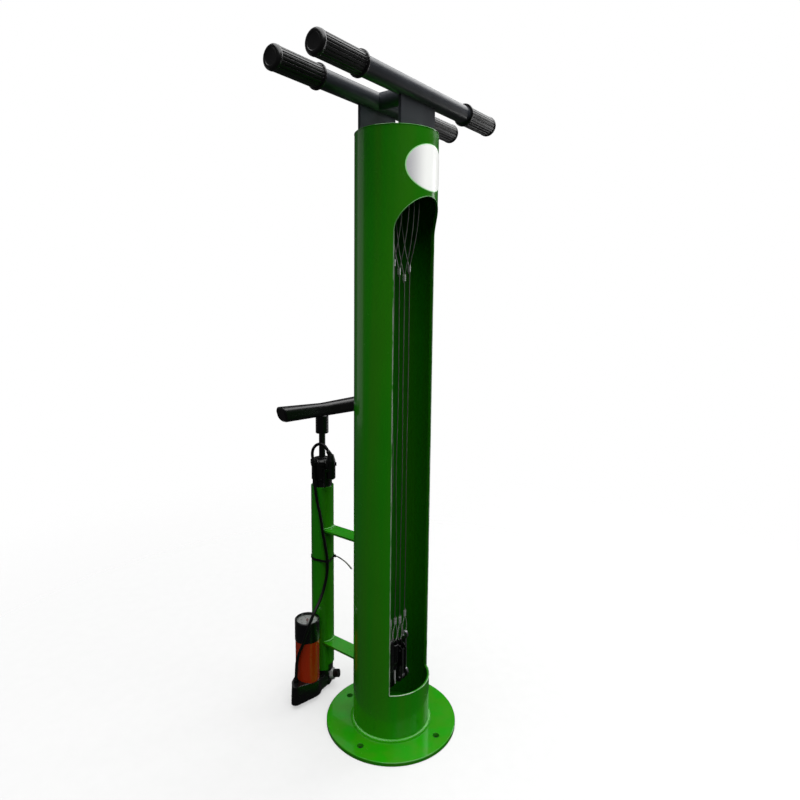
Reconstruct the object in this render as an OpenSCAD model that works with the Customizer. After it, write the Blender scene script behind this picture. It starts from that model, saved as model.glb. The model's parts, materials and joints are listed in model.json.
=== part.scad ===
// Bicycle repair station: a slotted steel column with hanging arms, tethered tools and a floor pump.
// Millimetres, +Z up, origin at the centre of the base flange's underside.
// The tool opening faces -Y, the hanging arms run along X and the pump stands behind at +Y.

/* [Column] */
// Outside diameter of the column tube
column_d = 168.3; // [150:0.1:190]
// Wall of the column tube
column_wall = 4.5; // [3:0.5:7]
// Height of the column's rim above the ground
column_top = 1257; // [1150:1:1400]
// Width of the tool opening between its sides
opening_w = 137.8; // [120:0.1:145]
// Height of the opening's sill above the ground
sill_z = 111; // [80:1:200]
// Distance from the column's rim down to the top of the arch
arch_drop = 126; // [110:1:200]
// Thickness of the plate that closes the column's mouth
closing_t = 6; // [4:0.5:10]
// Depth of the closing plate below the rim
closing_recess = 2; // [1:0.5:6]

/* [Base] */
// Diameter of the base flange
flange_d = 287; // [270:1:360]
// Thickness of the base flange
flange_t = 8; // [6:0.5:15]
// Diameter of an anchor hole
bolt_hole_d = 14; // [10:0.5:18]
// Number of anchor holes
bolt_count = 4; // [3:1:8]
// Angle by which the anchor holes stand off the arms' direction
bolt_turn = 4; // [0:1:45]
// Diameter of the drain hole under the column
drain_d = 40; // [20:1:80]
// Leg of the weld bead round the column's foot
weld_leg = 6; // [3:0.5:8]

/* [Hanging arms] */
// Outside diameter of an arm tube
arm_d = 36.4; // [30:0.1:42]
// Wall of the arm tubes and of the cross tie
arm_wall = 3; // [2:0.5:5]
// Width across the arms, grips included
arm_span = 566; // [460:1:760]
// Distance between the two arms' axes
arm_pitch = 99.2; // [80:0.1:110]
// Height of the arms' axes above the column's rim
arm_rise = 72.2; // [50:0.1:120]
// Thickness of a post plate
post_t = 6; // [4:0.5:8]
// Outside diameter of the cross tie between the arms
tie_d = 33.7; // [20:0.1:36]

/* [Grips] */
// Length of a grip
grip_len = 112; // [80:1:150]
// Wall of a grip over the arm tube
grip_wall = 2.3; // [2:0.1:5]
// Height by which the collar stands proud of the grip
collar_proud = 2.8; // [1:0.1:5]
// Height by which the end cap stands proud of the grip
grip_proud = 0.8; // [0.4:0.1:3]
// Length of the smooth end cap of a grip
grip_cap_len = 9; // [8:1:40]
// Thickness of a grip's end wall
grip_end_t = 5; // [3:0.5:8]
// Number of flutes round a grip
flute_count = 18; // [12:1:28]

/* [Pump carrier] */
// Distance from the column's axis to the pump's axis
pump_y = 209.5; // [195:0.5:240]
// Outside diameter of the pump's sleeve
sleeve_d = 53.2; // [50:0.1:60]
// Wall of the pump's sleeve
sleeve_wall = 2.5; // [2:0.1:3.5]
// Height of the sleeve's lower end
sleeve_bottom = 45; // [40:1:60]
// Height of the sleeve's upper end
sleeve_top = 500; // [480:1:540]
// Width of a bracket plate
bracket_w = 40; // [30:1:46]
// Thickness of a bracket plate
bracket_t = 5; // [4:0.5:8]
// Height of the upper bracket's middle
upper_bracket_z = 397; // [350:1:430]
// Height of the lower bracket's middle
lower_bracket_z = 116; // [90:1:150]

/* [Pump] */
// Outside diameter of the barrel
barrel_d = 38; // [34:0.1:40]
// Wall of the barrel
barrel_wall = 1.5; // [1:0.1:2.5]
// Diameter of the piston rod
rod_d = 15; // [12:0.1:18]
// Wall of the piston rod
rod_wall = 1.5; // [1:0.1:2.5]
// Diameter of the barrel's top cap
cap_d = 50; // [46:0.1:52]
// Height of the visible neck under the top cap
cap_neck_h = 15; // [8:1:25]
// Height of the top cap's head
cap_h = 50; // [40:1:60]
// Travel left below the stored height of the handle
stroke_down = 50; // [20:1:52]
// Length of the rod that shows between the bush and the handle's neck
rod_show = 57; // [56:1:90]
// Height of the handle's neck
neck_h = 40; // [30:1:50]
// Diameter of the handle's neck
neck_d = 30; // [26:0.1:34]
// Length of the T-handle
handle_len = 240; // [200:1:250]
// Height of the T-handle at its middle
handle_mid_h = 30; // [22:0.5:34]
// Height of the T-handle at its ends
handle_end_h = 35; // [26:0.5:40]
// Depth of the T-handle at its middle, front to back
handle_depth = 32; // [26:0.5:36]
// Depth of the T-handle at its ends, front to back
handle_end_depth = 36; // [30:0.5:40]
// Angle at which the T-handle stands at rest, against the arms
handle_yaw = -7; // [-15:1:15]

/* [Foot and gauge] */
// Gap between the foot and the ground
foot_lift = 10; // [5:1:20]
// Distance from the pump's axis to the canister's axis along the arms
canister_offset = 58; // [57:0.5:66]
// Distance of the canister's axis from the pump's towards the column
canister_shift = 5; // [0:0.5:8]
// Outside diameter of the air canister
canister_d = 56; // [50:0.5:58]
// Wall of the air canister and of the gauge housing
canister_wall = 2.5; // [2:0.1:4]
// Height of the air canister
canister_h = 99.5; // [70:0.5:120]
// Height of the gauge housing above the canister
gauge_h = 48; // [30:1:60]
// Distance from the canister's axis to the tip of the foot's toe
toe_offset = 49; // [46:0.5:56]
// Height of the foot's toe
toe_h = 43; // [38:1:46]

/* [Ropes and tools] */
// Diameter of a steel rope
rope_d = 2; // [1.5:0.1:2.4]
// Diameter of the bar that the ropes hang from
bar_d = 10; // [8:0.5:12]
// Height of the rope bar above the top of the arch
bar_rise = 41; // [30:1:60]
// Distance of the rope bar in front of the column's axis
rope_y = 34; // [25:0.5:38]
// Distance between neighbouring ropes
rope_pitch = 17; // [16.6:0.1:17.6]
// Drop from the rope bar to the first upper ferrule
loop_drop = 172; // [140:1:200]
// Height of the eye at a rope's lower end
eye_h = 42; // [38:1:60]
// Gap between the sill and the lower ends of the tools
tool_clear = 4; // [3:0.5:10]
// Length of a tyre lever
lever_len = 105; // [95:1:115]
// Length of the screwdriver
driver_len = 102; // [95:1:115]
// Diameter of the screwdriver's handle
driver_d = 15; // [12:0.5:15]
// Length of the hex key holder
holder_len = 97; // [88:1:110]
// Length of the wrench
wrench_len = 107; // [95:1:115]
// Opening of the wrench's jaw
jaw_w = 10; // [8:0.5:11]

/* [Hidden] */
$fn = 96;

// Gap between pieces that are fitted together
fit = 0.15;
// Radial gap of a piece that turns or slides in another
running = 0.05;
// Clearance between pieces of different bodies
clear = 0.3;
// Overrun of every cut
over = 1;
// Edge break on turned and plate pieces
edge = 1.2;

// Colours as seen
green = [0.06, 0.45, 0.05];
graphite = [0.17, 0.19, 0.21];
rubber_black = [0.04, 0.04, 0.04];
plastic_black = [0.06, 0.06, 0.065];
steel_grey = [0.62, 0.63, 0.65];

// Place of the anchor holes between the column's foot and the flange's edge
bolt_circle_share = 0.533;
bolt_circle_d = column_d + bolt_circle_share * (flange_d - column_d);

// Column values that other pieces take
column_r = column_d / 2;
bore_r = column_r - column_wall;
opening_r = opening_w / 2;
arch_top = column_top - arch_drop;
arch_centre_z = arch_top - opening_r;
closing_top = column_top - closing_recess;

// Arm values
arm_r = arm_d / 2;
arm_y = arm_pitch / 2;
arm_z = column_top + arm_rise;
arm_len = arm_span - 2 * grip_end_t;
post_margin = 2.8;
post_w = 2 * (sqrt(pow(bore_r, 2) - pow(arm_y + post_t / 2, 2)) - post_margin);
tie_r = tie_d / 2;
grip_r = arm_r + grip_wall;
proud_r = grip_r + grip_proud;
collar_r = grip_r + collar_proud;
grip_collar_len = 4;
flute_r = grip_wall * 0.6;
end_round = 5;
end_dish = 1;
end_dish_r = 13;

// Pump carrier and pump values
sleeve_r = sleeve_d / 2;
sleeve_bore_r = sleeve_r - sleeve_wall;
barrel_r = barrel_d / 2;
barrel_bore_r = barrel_r - barrel_wall;
rod_r = rod_d / 2;
cap_r = cap_d / 2;
plug_h = 14;
foot_floor = 8;
barrel_bottom = foot_lift + foot_floor;
cap_head_z = sleeve_top + cap_neck_h;
cap_top = cap_head_z + cap_h;
barrel_top = cap_head_z;
bush_seat = 6;
bush_wall = 3;
bush_r = rod_r + bush_wall;
bush_lip = 2.5;
bush_top = cap_top + bush_lip;
neck_bottom = bush_top + rod_show;
handle_z = neck_bottom + neck_h + handle_mid_h / 2;
rod_top = handle_z + handle_mid_h / 6;
piston_gap = 3;
piston_h = 16;
piston_z = barrel_bottom + piston_gap + stroke_down;
piston_r = barrel_bore_r - 2 * fit;
rod_socket = piston_h / 2;
groove_depth = 2;
groove_h = 4;

// Foot and gauge values
foot_boss_h = 17;
foot_h = 34.5;
seat_lip = 3;
canister_r = canister_d / 2;
canister_x = -canister_offset;
canister_y = pump_y - canister_shift;
canister_bore_r = canister_r - canister_wall;
canister_bottom = foot_lift + foot_h;
canister_top = canister_bottom + canister_h;
spigot_h = 8;
housing_lip = 1;
housing_r = canister_r + housing_lip;
housing_bore_r = housing_r - canister_wall;
housing_top = canister_top + gauge_h;
ledge_w = 2.5;
rim_h = 0.8;
lens_t = 2.2;
lens_skirt = 4;
lens_w = 1.8;
dial_t = 2;
lens_top = housing_top - rim_h;
dial_top = lens_top - lens_t - lens_skirt;
needle_pin_r = 0.9;
needle_t = 1;
needle_lift = 1;
needle_len = housing_bore_r * 0.68;
toe_shift = 11.5;
toe_xy = [canister_x - toe_offset, canister_y - toe_shift];
toe_r = 9;
toe_top = foot_lift + toe_h;
hose_offset = 39;
hose_shift = 1.5;
hose_start_xy = [canister_x - hose_offset, canister_y - hose_shift];
foot_side = 2;
nut_h = 6;
nut_r = 6;
notch_w = 36;
notch_h = 13;
relief_angle = -66;
relief_tilt = 12;
relief_rise = 10;
relief_z = foot_lift + relief_rise;
relief_r = 5;
relief_flat = 21.5;
relief_nut_r = 14;
relief_nut_h = 7;
relief_cap_len = 13;
relief_cap_r = 9.5;

// Pump head and hose values; the head hangs beside the top cap
head_r = 11;
head_at = [-9.5, -36];
head_h = 57;
head_rise = 15;
head_top = cap_top + head_rise;
head_bottom = head_top - head_h;
head_shoulder = 14;
head_neck_r = 7;
head_nut_h = 14;
head_nut_r = 6;
head_nut_azimuth = 128;
head_nut_tilt = 30;
head_nut_sink = 3;
port_r = 6;
port_h = 12;
lever_azimuth = 160;
lever_w = 9;
lever_t = 4;
lever_rise = 23;
lever_drop = 39;
lever_pin_r = 1.6;
hose_d = 7;
hose_r = hose_d / 2;
clip_h = 8;
clip_drop = 12;
clip_z = cap_top - clip_drop;
clip_straight = 1.5;
clip_wall = 2.4;
clip_hose_at = [-29.5, -0.5];
tie_z = 325;

hose_end_rise = 9.5;

// Route of the hose's middle line from the toe to the head, measured from the pump's axis
hose_points = [
    [hose_start_xy[0], hose_start_xy[1] - pump_y, toe_top + nut_h / 2],
    [hose_start_xy[0], hose_start_xy[1] - pump_y, toe_top + 3 * nut_h / 2],
    [-95, -5.5, 77], [-92.5, -5, 98], [-91, -11.5, 122], [-88.5, -19, 141], [-86.5, -23, 156],
    [-80.5, -30.5, 187], [-67, -35, 216], [-43, -31, 237], [-28, -30, 260], [-19, -31, 291],
    [-17, -31, 327], [-21.5, -27.5, 370], [-24.6, -24, 397], [-25.5, -21.5, 418],
    [-27.4, -17, 443], [-29.3, -12, 467], [-30.5, -8, 491], [-30.5, -4.5, 516], [-30, -1.5, 538],
    [clip_hose_at[0], clip_hose_at[1], clip_z - clip_straight],
    [clip_hose_at[0], clip_hose_at[1], clip_z + clip_h + clip_straight],
    [-28.8, 3, 572], [-27.7, 4.5, 582], [-26, 2, 592.5], [-23.2, -5, 600.5], [-19.5, -14, 603.5],
    [-16.3, -23, 600], [-14.2, -29, 592.5], [-13.5, -30.5, head_top + hose_end_rise]
];
hose_route = [for (p = hose_points) [p[0], p[1] + pump_y, p[2]]];

// Rope values
rope_r = rope_d / 2;
bar_r = bar_d / 2;
bar_z = arch_top + bar_rise;
bar_y = -rope_y;
first_rope_x = -50;
rope_x = [for (i = [0 : 3]) first_rope_x + i * rope_pitch];
strand_gap = 0.6;
strand = (rope_d + strand_gap) / 2;
loop_drop_shares = [1, 1.09, 1.16, 1.05];
loop_half = [18.5, 22, 22, 22];
eye_half = (rope_pitch - rope_d - strand_gap) / 2;
ferrule_h = 13;
ferrule_wall = 1.2;
rope_tail = 4;
rope_wave = 2;
wave_shares = [1, -0.7, 0.4, -0.3];
// Largest half width of the teardrop outline, as a share of its width factor
teardrop_share = 0.77;

// Tool values
tool_bottom = sill_z + tool_clear;
tab_t = 4;
lever_tool_t = 4;
wrench_t = 5;
tab_w = 12;
tab_hole_r = 2.6;
lever_hole_r = 3.5;
lever_gap = 0.6;
tab_top = 3;
tool_len = [lever_len, driver_len, holder_len, wrench_len];
ring_r = 9;
ring_bore_r = 5;
hang_below_top = [tab_top + lever_hole_r, tab_top + tab_hole_r, tab_top + tab_hole_r, ring_r];
hang_z = [for (i = [0 : 3]) tool_bottom + tool_len[i] - hang_below_top[i]];
hole_r = [lever_hole_r, tab_hole_r, tab_hole_r, ring_bore_r];
held_half = [lever_gap / 2 + lever_tool_t, tab_t / 2, tab_t / 2, wrench_t / 2];
low_factor = eye_half / teardrop_share;
// Rise of a rope's eye at the faces of the plate that hangs in it
eye_sag = [for (w = held_half) eye_h * 0.29 * pow(w / low_factor, 2)];
eye_z = [for (i = [0 : 3]) hang_z[i] + hole_r[i] - rope_r - clear - eye_sag[i]];
lever_tool_w = 16;
driver_tab_h = 11;
driver_handle_h = driver_len * 0.56;
blade_r = 2.5;
holder_w = 24;
holder_plate_t = 1.5;
holder_t = 15;
holder_tab_h = 12;
spine_t = 2.4;
key_af = [6, 5, 4, 3, 2.5];
key_gap = 0.3;
hex_pin_r = 1.8;
wrench_shank_w = 9;
jaw_r = 11.5;
jaw_angle = 15;

// Points of an arc in the plane, round (cx, cy) from angle a0 to a1
function arc(cx, cy, r, a0, a1, steps) =
    [for (i = [0 : steps]) let (a = a0 + (a1 - a0) * i / steps) [cx + r * cos(a), cy + r * sin(a)]];

function unit(v) = v / norm(v);

// Direction of a route at point i
function heading(p, i) = unit(p[min(i + 1, len(p) - 1)] - p[max(i - 1, 0)]);

// Side vectors carried along the route without twist
function sides(p) =
    [for (i = 0, n = unit(cross(heading(p, 0), [0.3, 0.9, 0.2]));
          i < len(p);
          i = i + 1, n = i < len(p) ? unit(n - (n * heading(p, i)) * heading(p, i)) : n) n];

// Round tube along a route, one polyhedron of triangles
module swept_tube(p, r, facets) {
    n = sides(p);
    count = len(p);
    points = [for (i = [0 : count - 1]) let (t = heading(p, i), b = cross(t, n[i]))
        for (k = [0 : facets - 1]) let (a = 360 * k / facets) p[i] + r * (cos(a) * n[i] + sin(a) * b)];
    last = (count - 1) * facets;
    walls = [for (i = [0 : count - 2], k = [0 : facets - 1], half = [0, 1])
        let (q = i * facets, k2 = (k + 1) % facets)
        half == 0 ? [q + k, q + facets + k, q + facets + k2] : [q + k, q + facets + k2, q + k2]];
    mouth = [for (k = [1 : facets - 2]) [0, k, k + 1]];
    tail = [for (k = [1 : facets - 2]) [last, last + k + 1, last + k]];
    polyhedron(points = points, faces = concat(walls, mouth, tail));
}

// Smooth points between the chosen ones, Catmull-Rom with the given steps to a stretch
function between(a, b, c, d, t) =
    0.5 * ((2 * b) + (c - a) * t + (2 * a - 5 * b + 4 * c - d) * t * t
    + (3 * b - a - 3 * c + d) * t * t * t);
function smoothed(p, steps) = concat(
    [for (i = [0 : len(p) - 2], s = [0 : steps - 1])
        between(p[max(i - 1, 0)], p[i], p[i + 1], p[min(i + 2, len(p) - 1)], s / steps)],
    [p[len(p) - 1]]);

// Teardrop outline, round at height 0 and pointed at height h, from one strand round to the other;
// its points lie closer together where it is round
function teardrop(h, factor, steps) =
    let (pointed = sqrt(2 * strand / factor) * 180 / PI, reach = 180 - pointed)
    [for (i = [0 : steps]) let (share = 2 * i / steps - 1, a = reach * share * pow(abs(share), 0.4))
        [factor * sin(a) * cos(a / 2), h / 2 * (1 - cos(a))]];

// Height at which the strands of a teardrop come together
function neck_z(h, factor) = h / 2 * (1 + cos(sqrt(2 * strand / factor) * 180 / PI));

// Tube along X
module tube_x(r, wall, length) {
    rotate([0, 90, 0]) difference() {
        cylinder(r = r, h = length, center = true);
        cylinder(r = r - wall, h = length + 2 * over, center = true);
    }
}

// Ring standing on z = 0
module ring(outer, inner, h) {
    difference() {
        cylinder(r = outer, h = h);
        translate([0, 0, -over]) cylinder(r = inner, h = h + 2 * over);
    }
}

module at_pump(z) { translate([0, pump_y, z]) children(); }
module at_canister(z) { translate([canister_x, canister_y, z]) children(); }

// Base

module base_flange() {
    color(green) difference() {
        rotate_extrude() polygon([
            [drain_d / 2, 0], [flange_d / 2, 0], [flange_d / 2, flange_t - edge],
            [flange_d / 2 - edge, flange_t], [drain_d / 2, flange_t]]);
        for (i = [0 : bolt_count - 1]) rotate(bolt_turn + 360 * i / bolt_count)
            translate([bolt_circle_d / 2, 0, -over]) cylinder(d = bolt_hole_d, h = flange_t + 2 * over);
    }
}

module base_weld() {
    color(green) translate([0, 0, flange_t]) rotate_extrude() polygon(concat(
        [[column_r, 0]], arc(column_r, 0, weld_leg, 0, 90, 4)));
}

// Outline of the tool opening, as seen from the front
module opening_outline() {
    translate([-opening_r, sill_z]) square([opening_w, arch_centre_z - sill_z]);
    translate([0, arch_centre_z]) circle(r = opening_r);
}

module column() {
    color(green) difference() {
        translate([0, 0, flange_t]) ring(column_r, bore_r, column_top - flange_t);
        rotate([90, 0, 0]) linear_extrude(column_r + over) opening_outline();
    }
}

module closing_plate() {
    color(green) translate([0, 0, closing_top - closing_t]) cylinder(r = bore_r - fit, h = closing_t);
}

// Hanging arms

module post(y) {
    top = arm_z - sqrt(pow(arm_r + fit, 2) - pow(post_t / 2, 2));
    color(graphite) difference() {
        translate([-post_w / 2, y - post_t / 2, closing_top]) cube([post_w, post_t, top - closing_top]);
        translate([0, y, arm_z]) rotate([0, 90, 0]) cylinder(r = arm_r + fit, h = arm_span, center = true);
    }
}
module front_post() { post(-arm_y); }
module rear_post() { post(arm_y); }

module arm(y) { color(graphite) translate([0, y, arm_z]) tube_x(arm_r, arm_wall, arm_len); }
module front_arm() { arm(-arm_y); }
module rear_arm() { arm(arm_y); }

module arm_tie() {
    color(graphite) difference() {
        translate([0, 0, arm_z]) rotate(90) tube_x(tie_r, arm_wall, arm_pitch);
        for (side = [-1, 1]) translate([0, side * arm_y, arm_z]) rotate([0, 90, 0])
            cylinder(r = arm_r + fit, h = arm_d + tie_d, center = true);
    }
}

// Grip standing on its open end: collar, fluted barrel and smooth end cap
module grip() {
    barrel_end = grip_len - grip_cap_len;
    step = grip_proud / 2;
    difference() {
        rotate_extrude() polygon(concat(
            [[arm_r + fit, 0], [collar_r - step, 0], [collar_r, step],
             [collar_r, grip_collar_len - step], [collar_r - step, grip_collar_len],
             [grip_r, grip_collar_len + step], [grip_r, barrel_end - step], [proud_r, barrel_end + step]],
            arc(proud_r - end_round, grip_len - end_round, end_round, 0, 90, 4),
            [[end_dish_r + end_dish, grip_len], [end_dish_r, grip_len - end_dish],
             [0, grip_len - end_dish], [0, grip_len - grip_end_t], [arm_r + fit, grip_len - grip_end_t]]));
        for (i = [0 : flute_count - 1]) rotate(360 * i / flute_count)
            translate([grip_r, 0, grip_collar_len + grip_proud])
                cylinder(r = flute_r, h = barrel_end - grip_collar_len - 2 * grip_proud, $fn = 24);
    }
}

module placed_grip(side, y) {
    color(rubber_black) translate([side * (arm_span / 2 - grip_len), y, arm_z])
        rotate([0, side * 90, 0]) grip();
}
module front_left_grip() { placed_grip(-1, -arm_y); }
module front_right_grip() { placed_grip(1, -arm_y); }
module rear_left_grip() { placed_grip(-1, arm_y); }
module rear_right_grip() { placed_grip(1, arm_y); }

// Bar across the column, its ends coped to the bore
module rope_bar() {
    color(steel_grey) intersection() {
        translate([0, bar_y, bar_z]) rotate([0, 90, 0]) cylinder(r = bar_r, h = column_d, center = true);
        translate([0, 0, bar_z - bar_d]) cylinder(r = bore_r, h = 2 * bar_d);
    }
}

// Pump carrier

module bracket(z) {
    color(green) difference() {
        translate([-bracket_w / 2, 0, z - bracket_t / 2]) cube([bracket_w, pump_y, bracket_t]);
        translate([0, 0, z - bracket_t]) cylinder(r = column_r, h = 2 * bracket_t);
        at_pump(z - bracket_t) cylinder(r = sleeve_r, h = 2 * bracket_t);
    }
}
module upper_bracket() { bracket(upper_bracket_z); }
module lower_bracket() { bracket(lower_bracket_z); }

// Sleeve with a notch at its foot that leaves room for the relief valve
module pump_sleeve() {
    color(green) at_pump(sleeve_bottom) difference() {
        ring(sleeve_r, sleeve_bore_r, sleeve_top - sleeve_bottom);
        rotate(relief_angle) translate([0, -notch_w / 2, -over]) cube([sleeve_d, notch_w, notch_h + over]);
    }
}

module pump_barrel() {
    color(steel_grey) at_pump(barrel_bottom) ring(barrel_r, barrel_bore_r, barrel_top - barrel_bottom);
}

// Top cap: plug in the sleeve, neck, ribbed head; the barrel's end and the bush sit in it
module pump_top_cap() {
    neck_r = min(cap_r - edge, sleeve_bore_r - edge);
    socket_r = barrel_r + fit;
    rib_r = edge;
    rib_count = 24;
    cap_bevel = cap_h / 10;
    color(plastic_black) at_pump(0) difference() {
        rotate_extrude() polygon(concat(
            [[socket_r, sleeve_top - plug_h], [sleeve_bore_r - fit, sleeve_top - plug_h],
             [sleeve_bore_r - fit, sleeve_top], [neck_r, sleeve_top], [neck_r, cap_head_z],
             [cap_r - edge, cap_head_z], [cap_r, cap_head_z + edge]],
            [[cap_r, cap_top - cap_bevel], [cap_r - 2 * cap_bevel / 3, cap_top - cap_bevel / 4],
             [cap_r - cap_bevel, cap_top]],
            [[bush_r + fit, cap_top], [bush_r + fit, barrel_top + bush_seat],
             [rod_r + edge, barrel_top + bush_seat], [rod_r + edge, barrel_top], [socket_r, barrel_top]]));
        for (i = [0 : rib_count - 1]) rotate(360 * (i + 0.5) / rib_count)
            translate([cap_r + rib_r / 2, 0, cap_head_z + 3 * edge])
                cylinder(r = rib_r, h = clip_z - cap_head_z - 6 * edge, $fn = 24);
    }
}

module rod_bush() {
    color(plastic_black) at_pump(0) rotate_extrude() polygon([
        [rod_r + running, barrel_top + bush_seat], [bush_r, barrel_top + bush_seat], [bush_r, cap_top],
        [bush_r + bush_lip, cap_top], [bush_r + bush_lip, bush_top - edge / 2],
        [bush_r + bush_lip - edge / 2, bush_top], [rod_r + running, bush_top]]);
}

// Clip round the top cap with a hook for the hose and a jaw for the head
module hose_clip() {
    jaw_dir = atan2(head_at[1], head_at[0]);
    color(plastic_black) at_pump(clip_z) difference() {
        union() {
            cylinder(r = cap_r + clip_wall, h = clip_h);
            translate(clip_hose_at) cylinder(r = hose_r + clip_wall, h = clip_h);
            translate(head_at) cylinder(r = head_r + clip_wall, h = clip_h);
        }
        translate([0, 0, -over]) cylinder(r = cap_r + fit, h = clip_h + 2 * over);
        translate([clip_hose_at[0], clip_hose_at[1], -over])
            cylinder(r = hose_r + fit, h = clip_h + 2 * over);
        translate([head_at[0], head_at[1], -over]) {
            cylinder(r = head_r + fit, h = clip_h + 2 * over);
            rotate(jaw_dir) translate([head_r / 2, -head_r, 0])
                cube([2 * head_r, 2 * head_r, clip_h + 2 * over]);
        }
    }
}

// Foot, canister and gauge

module at_foot(xy) { translate([xy[0], xy[1], foot_lift]) children(); }

// Foot with a toe for the hose, a seat for the canister and a boss that plugs into the sleeve
module pump_foot() {
    seat_r = canister_r + seat_lip;
    shoulder_r = sleeve_r + 1.5 * foot_side;
    flange_h = foot_h * 0.3;
    waist_h = foot_h * 0.62;
    boss_r = sleeve_bore_r - fit;
    boss_h = sleeve_bottom - foot_lift + foot_boss_h;
    color(plastic_black) difference() {
        union() {
            hull() {
                at_foot(toe_xy) cylinder(r1 = toe_r + foot_side, r2 = toe_r, h = toe_h, $fn = 32);
                at_foot(hose_start_xy) cylinder(r = nut_r + 2 * foot_side, h = toe_h, $fn = 32);
                at_canister(foot_lift) cylinder(r1 = seat_r + foot_side, r2 = seat_r, h = foot_h, $fn = 32);
            }
            hull() {
                at_canister(foot_lift)
                    cylinder(r1 = canister_r, r2 = canister_r * 0.7, h = waist_h, $fn = 32);
                at_pump(foot_lift) cylinder(r1 = sleeve_r, r2 = boss_r * 0.8, h = waist_h, $fn = 32);
            }
            at_pump(foot_lift) cylinder(r1 = shoulder_r + foot_side, r2 = shoulder_r, h = flange_h);
            at_pump(foot_lift) cylinder(r = boss_r, h = boss_h);
            at_canister(foot_lift) cylinder(r = canister_bore_r - fit, h = foot_h + spigot_h);
        }
        at_canister(canister_bottom) ring(seat_r + foot_side / 2, canister_bore_r - fit, spigot_h + over);
        at_pump(sleeve_bottom) ring(2 * sleeve_r, boss_r, foot_boss_h + over);
        at_pump(barrel_bottom) cylinder(r = barrel_r + fit, h = boss_h);
        along_relief(relief_flat) translate([-relief_nut_r - fit, -2 * relief_nut_r, 0])
            cube([4 * relief_nut_r, 4 * relief_nut_r, sleeve_d]);
        along_relief(barrel_r - over) cylinder(r = relief_r + fit, h = sleeve_d);
    }
}

module air_canister() {
    color([0.55, 0.10, 0.02]) at_canister(canister_bottom) ring(canister_r, canister_bore_r, canister_h);
}

module gauge_housing() {
    ledge_r = housing_bore_r - ledge_w;
    floor_top = canister_top + canister_wall;
    color(plastic_black) at_canister(0) rotate_extrude() polygon([
        [0, canister_top - spigot_h], [canister_bore_r - fit, canister_top - spigot_h],
        [canister_bore_r - fit, canister_top], [housing_r, canister_top], [housing_r, housing_top - edge],
        [housing_r - edge, housing_top], [housing_bore_r, housing_top], [housing_bore_r, dial_top - dial_t],
        [ledge_r, dial_top - dial_t], [ledge_r, floor_top], [0, floor_top]]);
}

module gauge_dial() {
    color([0.82, 0.82, 0.80]) at_canister(0) rotate_extrude() polygon([
        [0, dial_top - dial_t], [housing_bore_r - fit, dial_top - dial_t], [housing_bore_r - fit, dial_top],
        [2 * needle_pin_r, dial_top], [2 * needle_pin_r, dial_top + needle_lift - clear / 2],
        [needle_pin_r, dial_top + needle_lift - clear / 2],
        [needle_pin_r, dial_top + needle_lift + needle_t + clear],
        [0, dial_top + needle_lift + needle_t + clear]]);
}

module gauge_lens() {
    color([0.85, 0.92, 0.95, 0.35]) at_canister(0) rotate_extrude() polygon([
        [0, lens_top - lens_t], [housing_bore_r - fit - lens_w, lens_top - lens_t],
        [housing_bore_r - fit - lens_w, dial_top], [housing_bore_r - fit, dial_top],
        [housing_bore_r - fit, lens_top], [0, lens_top]]);
}

module gauge_needle() {
    rest_angle = 225;
    hub_r = 3 * needle_pin_r;
    tail_share = 0.3;
    color([0.7, 0.05, 0.03]) at_canister(dial_top + needle_lift) rotate(rest_angle) difference() {
        union() {
            cylinder(r = hub_r, h = needle_t);
            linear_extrude(needle_t) polygon([
                [-needle_len * tail_share, -hub_r / 2], [needle_len, -hub_r / 8], [needle_len, hub_r / 8],
                [-needle_len * tail_share, hub_r / 2]]);
        }
        translate([0, 0, -over]) cylinder(r = needle_pin_r + running, h = needle_t + 2 * over);
    }
}

// Places a piece along the relief valve's axis, which leaves the barrel's side slightly upwards
module along_relief(distance) {
    at_pump(relief_z) rotate(relief_angle) rotate([0, 90 - relief_tilt, 0])
        translate([0, 0, distance]) children();
}

module relief_valve() {
    color(steel_grey) along_relief(0) difference() {
        rotate_extrude() polygon([
            [0, barrel_r + edge], [relief_r, barrel_r + edge], [relief_r, relief_flat + fit],
            [relief_nut_r, relief_flat + fit], [relief_nut_r, relief_flat + relief_nut_h - edge],
            [relief_nut_r - edge, relief_flat + relief_nut_h], [0, relief_flat + relief_nut_h]]);
        for (i = [0 : 5]) rotate(60 * i) translate([relief_nut_r * 0.9, -relief_nut_r, relief_flat - over])
            cube([relief_nut_r, 2 * relief_nut_r, relief_nut_h + 2 * over]);
    }
}

module relief_cap() {
    knurls = 16;
    knurl_r = edge / 2;
    color(plastic_black) along_relief(relief_flat + relief_nut_h) difference() {
        cylinder(r = relief_cap_r, h = relief_cap_len);
        for (i = [0 : knurls - 1]) rotate(360 * i / knurls)
            translate([relief_cap_r + knurl_r / 2, 0, 2 * edge])
                cylinder(r = knurl_r, h = relief_cap_len, $fn = 16);
    }
}

// Hose and head

// Nut that holds the hose's lower end on the toe
module hose_nut() {
    color(plastic_black) translate([hose_start_xy[0], hose_start_xy[1], toe_top]) difference() {
        cylinder(r = nut_r, h = nut_h, $fn = 6);
        translate([0, 0, nut_h / 2 - fit]) cylinder(r = hose_r + 2 * fit, h = nut_h);
    }
}

module hose() {
    color(rubber_black) swept_tube(smoothed(hose_route, 2), hose_r, 12);
}

module head_nut() {
    color(plastic_black) at_pump(head_top - head_nut_sink) translate(head_at)
        rotate(head_nut_azimuth) rotate([0, head_nut_tilt, 0]) rotate_extrude() polygon([
            [0, 0], [head_nut_r - edge, 0], [head_nut_r, edge], [head_nut_r - edge, head_nut_h - edge],
            [head_nut_r - 2 * edge, head_nut_h], [0, head_nut_h]]);
}

// Places a piece in the head's frame, turned so that the lever hangs on its -Y side
module at_head(z) { at_pump(z) translate(head_at) rotate(lever_azimuth + 90) children(); }

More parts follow.
